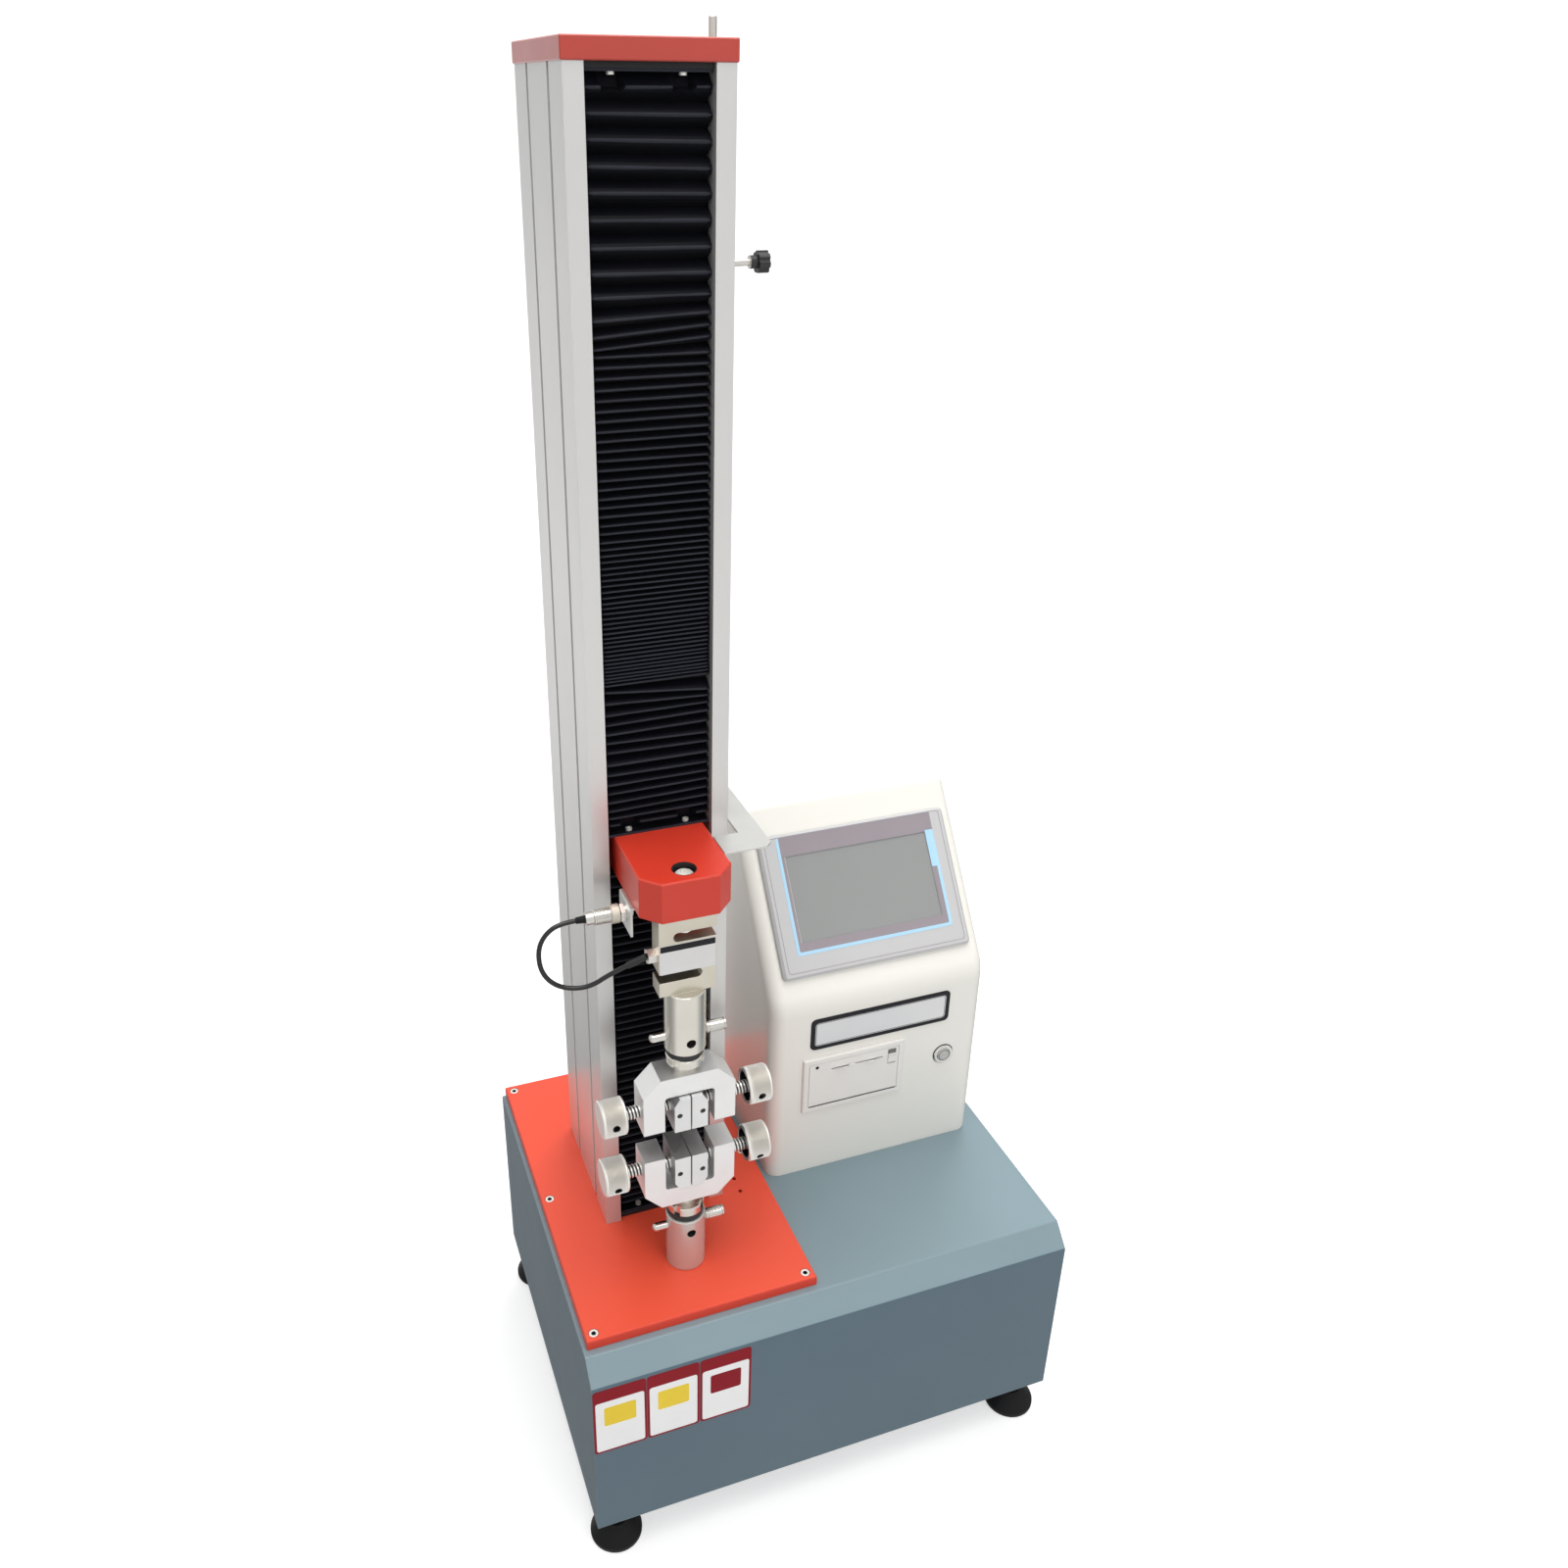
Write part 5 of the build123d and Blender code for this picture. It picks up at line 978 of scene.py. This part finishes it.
def addPin(level):
    values = crossPinValues
    headPlace = values["headStart"] - values["left"]
    shaft = [*values["tip"], (headPlace, values["radius"])]
    r, long = values["headRadius"], values["headLength"]
    groove = r - values["grooveDepth"]
    head = [(0.0, 0.003), (0.0, r - 0.0008), (0.0008, r), (0.0020, r), (0.0022, groove), (0.0030, groove),
            (0.0032, r), (long - 0.0032, r), (long - 0.0030, groove), (long - 0.0022, groove),
            (long - 0.0020, r), (long - 0.0008, r), (long, r - 0.0008), (long, 0.0025),
            (long - 0.0006, 0.0018)]

    def radiusAt(z, radius, angle):
        if radius < r or not 0.003 < z < long - 0.003:
            return radius
        return radius - values["ridgeDepth"] * (0.5 - 0.5 * math.cos(values["ridges"] * angle))
    headShape = placed(turnedMesh(head, 24 * 8, radiusAt), Matrix.Translation((0, 0, headPlace)))
    pin = joinShapes(f"{level}CrossPin", [(*turnedMesh(shaft, 40), 0), (*headShape, 0)], smooth=True)
    pin.data.transform(axisPlace((values["left"], gripAxis[1], pinLevels[level]), (0, 0, 1), (1, 0, 0)))
    sharpEdges(pin, 35)
    dress(pin, ["pinSteel"], f"{level}_pin", replaced=f"{level}_pin")


addPin("upper")
addPin("lower")
print("cross pins made")


# Connector plug and its ring on the left of the crosshead
plugValues = {
    "y": -0.072, "z": 0.650, "nutEnd": -0.1730, "ringEnd": -0.1813, "bodyEnd": -0.1958, "collarEnd": -0.2028,
    "bootEnd": -0.2108, "neck": 0.0055, "body": 0.0068, "bodyRib": (0.0019, 0.0006, 0.0007), "collar": 0.0056,
    "boot": 0.0034, "bootTaper": 0.0006, "bootRib": (0.0016, 0.0004, 0.0006),
    "ring": 0.0084, "ringRim": 0.0076, "ringBore": 0.0057, "ringKnurl": (34, 4200, 0.00025), "ringRows": 26,
}


def ribbed(start, end, rib, radiusAt):
    # Rings of a ribbed stretch, with one groove in each pitch.
    pitch, depth, land = rib
    rings, z = [], start
    while z < end:
        radius = radiusAt(z)
        rings += [(z, radius), (z + 0.0002, radius - depth), (z + land, radius - depth),
                  (z + land + 0.0002, radius)]
        z += pitch
    return rings


def plugRings(values):
    # Metal body with ribs, a collar, and the rubber sleeve that the cord leaves by.
    start = values["nutEnd"]
    body, collar = start - values["ringEnd"] - 0.0003, start - values["bodyEnd"]
    boot, end = start - values["collarEnd"], start - values["bootEnd"]
    full, neck, narrow = values["body"], values["neck"], values["collar"]
    rings = [(0.0, neck), (body, neck), (body, full - 0.0004), (body + 0.0005, full)]
    rings += ribbed(body + 0.0012, collar - 0.0020, values["bodyRib"], lambda z: full)
    rings += [(collar - 0.0005, full), (collar, full - 0.0006), (collar + 0.0002, narrow),
              (boot - 0.0006, narrow), (boot, 0.0050), (boot + 0.0001, 0.0038)]
    rings += ribbed(boot + 0.0008, end - 0.0016, values["bootRib"],
                    lambda z: values["boot"] - values["bootTaper"] * (z - boot) / (end - boot))
    return rings + [(end - 0.0003, 0.0027), (end, 0.0023)]


def addConnector():
    values = plugValues
    place = axisPlace((values["nutEnd"], values["y"], values["z"]), (0, 0, 1), (-1, 0, 0))
    plug = meshPiece("cordPlug", *placed(turnedMesh(plugRings(values), 48), place))
    for face in plug.data.polygons:
        face.material_index = 1 if face.center.x < values["collarEnd"] - 0.00005 else 0
    sharpEdges(plug, 30)
    dress(plug, ["pinSteel", "blackRubber"], "crosshead", replaced="connector_plug")
    far, rows = values["nutEnd"] - values["ringEnd"], values["ringRows"]
    full, rim, bore = values["ring"], values["ringRim"], values["ringBore"]
    rings = [(0.0003, bore), (0.0003, rim), (0.0011, full)]
    rings += [(0.0013 + (far - 0.0024) * i / rows, full) for i in range(rows + 1)]
    rings += [(far - 0.0008, full), (far, rim), (far, bore)]
    count, slope, depth = values["ringKnurl"]

    def radiusAt(z, radius, angle):
        if radius < full or not 0.0014 < z < far - 0.0012:
            return radius
        ridge = max(math.cos(count * angle + z * slope), math.cos(count * angle - z * slope))
        return radius - depth * (1 - ridge)
    ring = meshPiece("plugRing", *placed(turnedMesh(rings, count * 5, radiusAt), place))
    sharpEdges(ring, 40)
    dress(ring, ["mattNickel"], "connector_ring", replaced="connector_ring")
    return plug


cordPlug = addConnector()
signalCord.data.materials.append(finishes["cordSheath"])
print("connector made")


# Thin flat pieces, drawn flat as (shape, material number) and then put in their place
def flatPiece(name, place, shapes):
    return joinShapes(name, [(*placed(shape, place), number) for shape, number in shapes])


def frontPlace(x, y, z):
    # On a face that looks straight to the front.
    return axisPlace((x, y, z), (1, 0, 0), (0, -1, 0))


# Printed film on the display's rim: pale blue line, grey field, a blank tab and a thin line round the bezel
filmValues = {
    "middleX": 0.1086, "kneeZ": 0.4708, "front": -0.025, "run": 0.117, "rise": 0.1642, "face": 0.00705,
    "outer": (0.0243, 0.1949, 0.0474, 0.1642), "outerCorner": 0.003, "line": 0.0033, "innerCorner": 0.0015,
    "window": (0.0308, 0.1859, 0.0592, 0.1452), "windowCorner": 0.0006,
    "tab": (0.1859, 0.1948, 0.109, 0.1466), "topRight": (0.1900, 0.1949, 0.1300, 0.1642), "tabCorner": 0.0008,
    "rim": (0.0118, 0.2054, 0.0314, 0.1650), "rimCorner": 0.0035, "rimWidth": 0.0006,
    "thick": {"line": 0.00025, "field": 0.0002, "rim": 0.0001, "topRight": 0.0003, "tab": 0.0004},
}


def spanLoop(span, radius):
    # Rounded outline of (x0, x1, s0, s1), with x from the console's middle and s up the slope.
    x0, x1, s0, s1 = span
    return roundedLoop(x1 - x0, s1 - s0, radius, 5, ((x0 + x1) / 2 - filmValues["middleX"], (s0 + s1) / 2))


def addDisplayFilm():
    values = filmValues
    angle = math.atan2(values["run"], values["rise"])
    place = axisPlace((values["middleX"], values["front"], values["kneeZ"]), (1, 0, 0),
                      (0, -math.cos(angle), math.sin(angle)))
    face, thick, line, width = values["face"], values["thick"], values["line"], values["rimWidth"]
    x0, x1, s0, s1 = values["outer"]
    outer = spanLoop(values["outer"], values["outerCorner"])
    inner = spanLoop((x0 + line, x1 - line, s0 + line, s1), values["innerCorner"])  # no line along the top
    window = spanLoop(values["window"], values["windowCorner"])
    x0, x1, s0, s1 = values["rim"]
    rim = spanLoop(values["rim"], values["rimCorner"])
    rimInside = spanLoop((x0 + width, x1 - width, s0 + width, s1 - width), values["rimCorner"] - 0.0005)
    topRight, tab = (spanLoop(values[part], values["tabCorner"]) for part in ("topRight", "tab"))
    film = flatPiece("displayFilm", place, (
        (frameMesh(outer, inner, face, face + thick["line"]), 0),
        (frameMesh(inner, window, face, face + thick["field"]), 1),
        (frameMesh(rim, rimInside, face, face + thick["rim"]), 1),
        (plateMesh(topRight, face, face + thick["topRight"], 0.0001), 1),
        (plateMesh(tab, face, face + thick["tab"], 0.0001), 0)))
    dress(film, ["panelBlue", "panelGrey"], "frame")


addDisplayFilm()


# Blank nameplate on the console's front
nameplateValues = {
    "span": (0.032, 0.1865, 0.4128, 0.4502), "front": -0.0251, "thick": 0.0012, "rim": 0.0046,
    "corner": 0.0055, "levels": (0.6, 0.75, 0.8),  # tops of back, field and line, as shares of thick
    "lineInset": (0.0016, 0.0026), "lineCorners": (0.0028, 0.0023),
}


def addNameplate():
    values = nameplateValues
    x0, x1, z0, z1 = values["span"]
    width, height, corner = x1 - x0, z1 - z0, values["corner"]
    fieldWidth, fieldHeight = width - 2 * values["rim"], height - 2 * values["rim"]
    thick = values["thick"]
    backTop, fieldTop, lineTop = (thick * level for level in values["levels"])
    outer = roundedLoop(width - 0.0008, height - 0.0008, corner - 0.0004, 8)
    inner = roundedLoop(fieldWidth, fieldHeight, corner - 0.002, 8)
    line = [roundedLoop(fieldWidth - inset, fieldHeight - inset, radius, 8)
            for inset, radius in zip(values["lineInset"], values["lineCorners"])]
    plate = flatPiece("nameplate", frontPlace((x0 + x1) / 2, values["front"], (z0 + z1) / 2), (
        (plateMesh(roundedLoop(width, height, corner, 8), 0, backTop, 0.0003), 0),
        (frameMesh(outer, inner, backTop, thick), 0),
        (plateMesh(inner, backTop, fieldTop), 1),
        (frameMesh(*line, fieldTop, lineTop), 0)))
    dress(plate, ["darkFilm", "silverFilm"], "frame")


addNameplate()


# Printer: a dark sensor window, a line of painted shadow under the door and the paper's torn end; a ring of
# painted shade round the button
printerTrimValues = {
    "front": -0.0280, "sensor": (0.0396, 0.3915), "sensorSize": 0.0036, "sensorCorner": 0.0017,
    "line": (0.0320, 0.1300, 0.34195), "shadowLineHeight": 0.0007, "paper": (0.0582, 0.1104, 0.3850),
    "paperRise": 0.0024, "paperOut": 0.0028, "paperTear": 0.00025, "paperSteps": 44, "paperThick": 0.0001,
    "button": (0.1848, -0.0250, 0.369), "shadeRingRadius": 0.0116, "shadeRingEdge": 0.0112,
}


def addPaperEnd():
    values = printerTrimValues
    x0, x1, z = values["paper"]
    rng = random.Random(3)
    count, points = values["paperSteps"], []
    rise, tear = values["paperRise"], values["paperTear"]
    for step in range(count + 1):
        x = x0 + (x1 - x0) * step / count
        torn = values["paperOut"] * (0.55 + 0.45 * math.sin(step * 0.21 + 0.6)) + rng.uniform(-tear, tear)
        for out, lift in ((-0.003, 0.0), (0.0003, 0.0002), (0.4 * torn + 0.0005, 0.35 * rise),
                          (torn, rise * (0.7 + 0.3 * math.sin(step * 0.5)))):
            points.append((x, values["front"] - out, z + lift))
    paper = meshPiece("paperEnd", points, gridFaces(count + 1, 4))
    skin = paper.modifiers.new("skin", "SOLIDIFY")
    skin.thickness = values["paperThick"]
    dress(paper, ["whiteFilm"], "printer_door")


def addPrinterTrim():
    values = printerTrimValues
    x, z = values["sensor"]
    size, front = values["sensorSize"], values["front"]
    sensor = plateMesh(roundedLoop(size, size, values["sensorCorner"], 8), -0.0001, 0.0004, 0.0002)
    # painted shadow: a dark strip under the door's bottom edge, where its gap lies in shade
    x0, x1, lineZ = values["line"]
    line = plateMesh(roundedLoop(x1 - x0, values["shadowLineHeight"], 0.0003, 2), 0, 0.00045, 0.0001)
    # painted shade: a thin dark ring round the button's rim
    shadeRingProfile = [(0.0, values["shadeRingRadius"]), (0.0004, values["shadeRingRadius"]), (0.0006, values["shadeRingEdge"])]
    shadeRing = turnedMesh(shadeRingProfile, 64)
    trim = joinShapes("sensorAndShadowLine", [(*placed(sensor, frontPlace(x, front, z)), 0),
                                      (*placed(line, frontPlace((x0 + x1) / 2, front + 0.0004, lineZ)), 0)])
    for piece in (trim, flatPiece("buttonShadeRing", frontPlace(*values["button"]), [(shadeRing, 0)])):
        dress(piece, ["darkFilm"], "frame")
    addPaperEnd()


addPrinterTrim()


# Three bare stickers on the cabinet's front, each with a white field and one block of colour
stickerValues = {
    "lefts": (-0.2434, -0.1926, -0.1417), "width": 0.0502, "bottom": 0.151, "height": 0.082,
    "corner": 0.0035, "front": -0.1925, "thick": 0.00025, "layer": 0.00004,
    "fieldTop": 0.0155, "fieldLow": 0.0022, "fieldSide": 0.0022, "fieldCorner": 0.0025,
    "mark": (0.030, 0.024, 0.002), "markUp": 0.0055, "markFilms": ("yellowFilm", "yellowFilm", "crimsonFilm"),
}


def addSticker(number, left, markFilm):
    values = stickerValues
    width, height, thick, layer = values["width"], values["height"], values["thick"], values["layer"]
    top, low = height / 2 - values["fieldTop"], -height / 2 + values["fieldLow"]
    field = roundedLoop(width - 2 * values["fieldSide"], top - low, values["fieldCorner"], 6,
                        (0, (top + low) / 2))
    mark = roundedLoop(*values["mark"], 6, (0, values["markUp"]))
    place = frontPlace(left + width / 2, values["front"], values["bottom"] + height / 2)
    sticker = flatPiece(f"frontSticker{number}", place, (
        (plateMesh(roundedLoop(width, height, values["corner"], 6), -0.0001, thick, 0.00005), 0),
        (plateMesh(field, thick, thick + layer), 1),
        (plateMesh(mark, thick + layer, thick + 2 * layer), 2)))
    dress(sticker, ["crimsonFilm", "whiteFilm", markFilm], "frame")


for number, (left, markFilm) in enumerate(zip(stickerValues["lefts"], stickerValues["markFilms"]), start=1):
    addSticker(number, left, markFilm)


# Blank label round the load cell's front
cellLabelValues = {
    "span": (-0.1498, -0.1002, 0.606, 0.6348), "front": -0.11056, "thick": 0.00015, "layer": 0.00003,
    "corner": 0.0012, "band": 0.006, "bandCorner": 0.0008, "bandInset": 0.0005,
}


def addCellLabel():
    values = cellLabelValues
    x0, x1, z0, z1 = values["span"]
    width, height, thick, layer = x1 - x0, z1 - z0, values["thick"], values["layer"]
    band, inset = values["band"], values["bandInset"]
    strip = roundedLoop(width - 2 * inset, band, values["bandCorner"], 4, (0, height / 2 - band / 2 - inset))
    label = flatPiece("cellLabel", frontPlace((x0 + x1) / 2, values["front"], (z0 + z1) / 2), (
        (plateMesh(roundedLoop(width, height, values["corner"], 4), 0, thick, layer), 0),
        (plateMesh(strip, thick, thick + layer), 1)))
    dress(label, ["labelFilm", "darkFilm"], "crosshead")


addCellLabel()
print("film, nameplate, stickers and label made")


# Finishes of the CAD nodes that stay
nodeFinishes = {
    "bluePaint": ("cabinet_shell", "cabinet_base"),
    "platePaint": ("table_plate",),
    "capPaint": ("column_cap",),
    "blockPaint": ("crosshead_block",),
    "darkRedPaint": ("rod_guides", "upper_stop", "lower_stop"),
    "anodisedColumn": ("column_profiles", "column_back_plate"),
    "motorBlack": ("bearing_blocks", "drive_motor", "carriage"),
    "turnedSteel": ("guide_rods", "ball_screw", "carriage_bearings", "upper_lock_ring", "lower_lock_ring",
                    "limit_rod"),
    "blastedAluminium": ("motor_pulley", "upper_grip_body", "lower_grip_body"),
    "groundJaw": ("upper_left_jaw", "upper_right_jaw", "lower_left_jaw", "lower_right_jaw"),
    "screwSteel": ("crosshead_screws",),
    "plateScrewSteel": ("frame_screws",),
    "brushedSheet": ("crosshead_brackets",),
    "mattNickel": ("load_cell",),
    "pinSteel": ("connector_socket",),
    "glandAndSleeve": ("cord_gland",),
    "upperSocketSteel": ("upper_socket",),
    "lowerSocketSteel": ("lower_socket",),
    "shankAndBand": ("upper_shank", "lower_shank"),
    "stopKnobSteel": ("upper_stop_knob",),
    "creamShell": ("console_shell",),
    "creamPlastic": ("printer_housing", "printer_door"),
    "latchPlastic": ("printer_latch",),
    "greyBezel": ("hmi_bezel",),
    "mattScreen": ("hmi_screen",),
    "chromedPin": ("button_ring",),
    "buttonSteel": ("push_button",),
    "blackPlastic": ("power_inlet", "rocker_switch"),
    "blackRubber": ("levelling_feet", "drive_belt"),
}
finishOfNode = {nodeName: name for name, nodeNames in nodeFinishes.items() for nodeName in nodeNames}
for nodeName, nodeObject in nodes.items():
    nodeObject.data.materials.clear()
    nodeObject.data.materials.append(finishes[finishOfNode.get(nodeName, "darkSteelAndShade")])
print("CAD nodes finished")


# Pale floor that curves up all round, soft light and a bright surround
stageValues = {
    "floorRadius": 2.6, "curve": 1.2, "curveSteps": 12, "wallTop": 5.0, "colour": (0.55, 0.55, 0.555),
    "shade": (0.54, 0.54, 0.545), "cloudScale": 1.5, "rough": 0.9, "specular": 0.1, "lift": 0.55,
}


def addStage():
    values = stageValues
    radius, curve, steps = values["floorRadius"], values["curve"], values["curveSteps"]
    rings = [(0.0, 0.05), (0.0, radius)]
    for step in range(1, steps + 1):
        angle = math.pi / 2 * step / steps
        rings.append((curve * (1 - math.cos(angle)), radius + curve * math.sin(angle)))
    rings.append((values["wallTop"], radius + curve))
    points, faces = turnedMesh(rings, 96)
    floor = meshPiece("paleFloor", points, faces[:-1])
    material, tree, shader, place = startMaterial("paleFloor")
    cloud = useGroup(tree, cloudiness, Vector=place, Scale=values["cloudScale"]).outputs["Value"]
    feed(tree, shader.inputs["Base Color"], mixColour(tree, cloud, values["colour"], values["shade"]))
    shader.inputs["Roughness"].default_value = values["rough"]
    shader.inputs["Specular IOR Level"].default_value = values["specular"]
    shader.inputs["Emission Color"].default_value = (1, 1, 1, 1)
    seen = addNode(tree, "ShaderNodeLightPath").outputs["Is Camera Ray"]
    feed(tree, shader.inputs["Emission Strength"], times(tree, seen, values["lift"]))
    floor.data.materials.append(material)
    floor.visible_glossy = False


lightValues = {
    "overheadLight": {"place": (-0.2, -0.3, 3.2), "target": (0.0, 0.0, 0.3), "size": 2.6, "power": 64,
                      "colour": (1.0, 0.99, 0.97), "mirrored": True},
    "frontLight": {"place": (0.9, -3.0, 2.0), "target": (0.0, 0.0, 0.6), "size": 2.0, "power": 34,
                   "colour": (1.0, 0.99, 0.98), "mirrored": False},
    "backLight": {"place": (1.6, 2.5, 3.0), "target": (0.0, 0.0, 0.4), "size": 2.2, "power": 80,
                  "colour": (1.0, 1.0, 1.0), "mirrored": False},
}


def addLights():
    for name, values in lightValues.items():
        data = bpy.data.lights.new(name, "AREA")
        data.shape = "SQUARE"
        data.size, data.energy, data.color = values["size"], values["power"], values["colour"]
        light = bpy.data.objects.new(name, data)
        light.location = values["place"]
        aim = Vector(values["target"]) - Vector(values["place"])
        light.rotation_euler = aim.to_track_quat("-Z", "Y").to_euler()
        light.visible_glossy = values["mirrored"]  # two of them only light the matt side of things
        scene.collection.objects.link(light)


# The room that the gloss sees: tones from straight below to straight above, and the directions in which it is
# darker, each with the spread and the depth of the darkness
surroundValues = {
    "tones": ((0.0, (0.84, 0.84, 0.84)), (0.26, (1.0, 1.0, 0.99)), (0.44, (0.88, 0.88, 0.88)),
              (0.52, (0.64, 0.65, 0.66)), (0.60, (1.0, 1.0, 1.0)), (0.70, (0.92, 0.92, 0.92)),
              (0.83, (0.74, 0.74, 0.75)), (0.93, (0.85, 0.85, 0.85)), (1.0, (1.0, 1.0, 0.99))),
    "darkSides": (((0.82, 0.38, -0.42), 0.55, 0.92, 0.8), ((-0.87, 0.23, -0.43), 0.78, 0.97, 0.7),
                  ((-0.13, 0.57, -0.81), 0.88, 0.97, 0.75)),
    "darkTone": (0.1, 0.1, 0.1),
}


def addSurround():
    # Only the camera sees it as even white.
    values = surroundValues
    world = bpy.data.worlds.new("surround")
    world.use_nodes = True
    scene.world = world
    tree = world.node_tree
    background = tree.nodes["Background"]
    place = addNode(tree, "ShaderNodeTexCoord").outputs["Generated"]
    ramp = addNode(tree, "ShaderNodeValToRGB")
    elements = ramp.color_ramp.elements
    while len(elements) < len(values["tones"]):
        elements.new(0.5)
    for element, (position, colour) in zip(elements, values["tones"]):
        element.position = position
        element.color = (*colour, 1)
    feed(tree, ramp.inputs[0], rangeNode(tree, coordinate(tree, place, "z"), -1.0, 1.0))
    tone = ramp.outputs[0]
    for direction, low, high, depth in values["darkSides"]:
        facing = vectorNode(tree, "DOT_PRODUCT", place, Vector(direction).normalized())
        tone = mixColour(tree, rangeNode(tree, facing, low, high, 0.0, depth), tone, values["darkTone"])
    rays = addNode(tree, "ShaderNodeLightPath")
    feed(tree, background.inputs["Color"], mixColour(tree, rays.outputs["Is Camera Ray"], tone, (1, 1, 1)))
    background.inputs["Strength"].default_value = 1.0
    if hasattr(world, "cycles"):
        world.cycles.sampling_method = "NONE"  # the floor hides it from light sampling, only gloss sees it


addStage()
addLights()
addSurround()
scene.view_settings.view_transform = "Standard"
print("stage and light made")
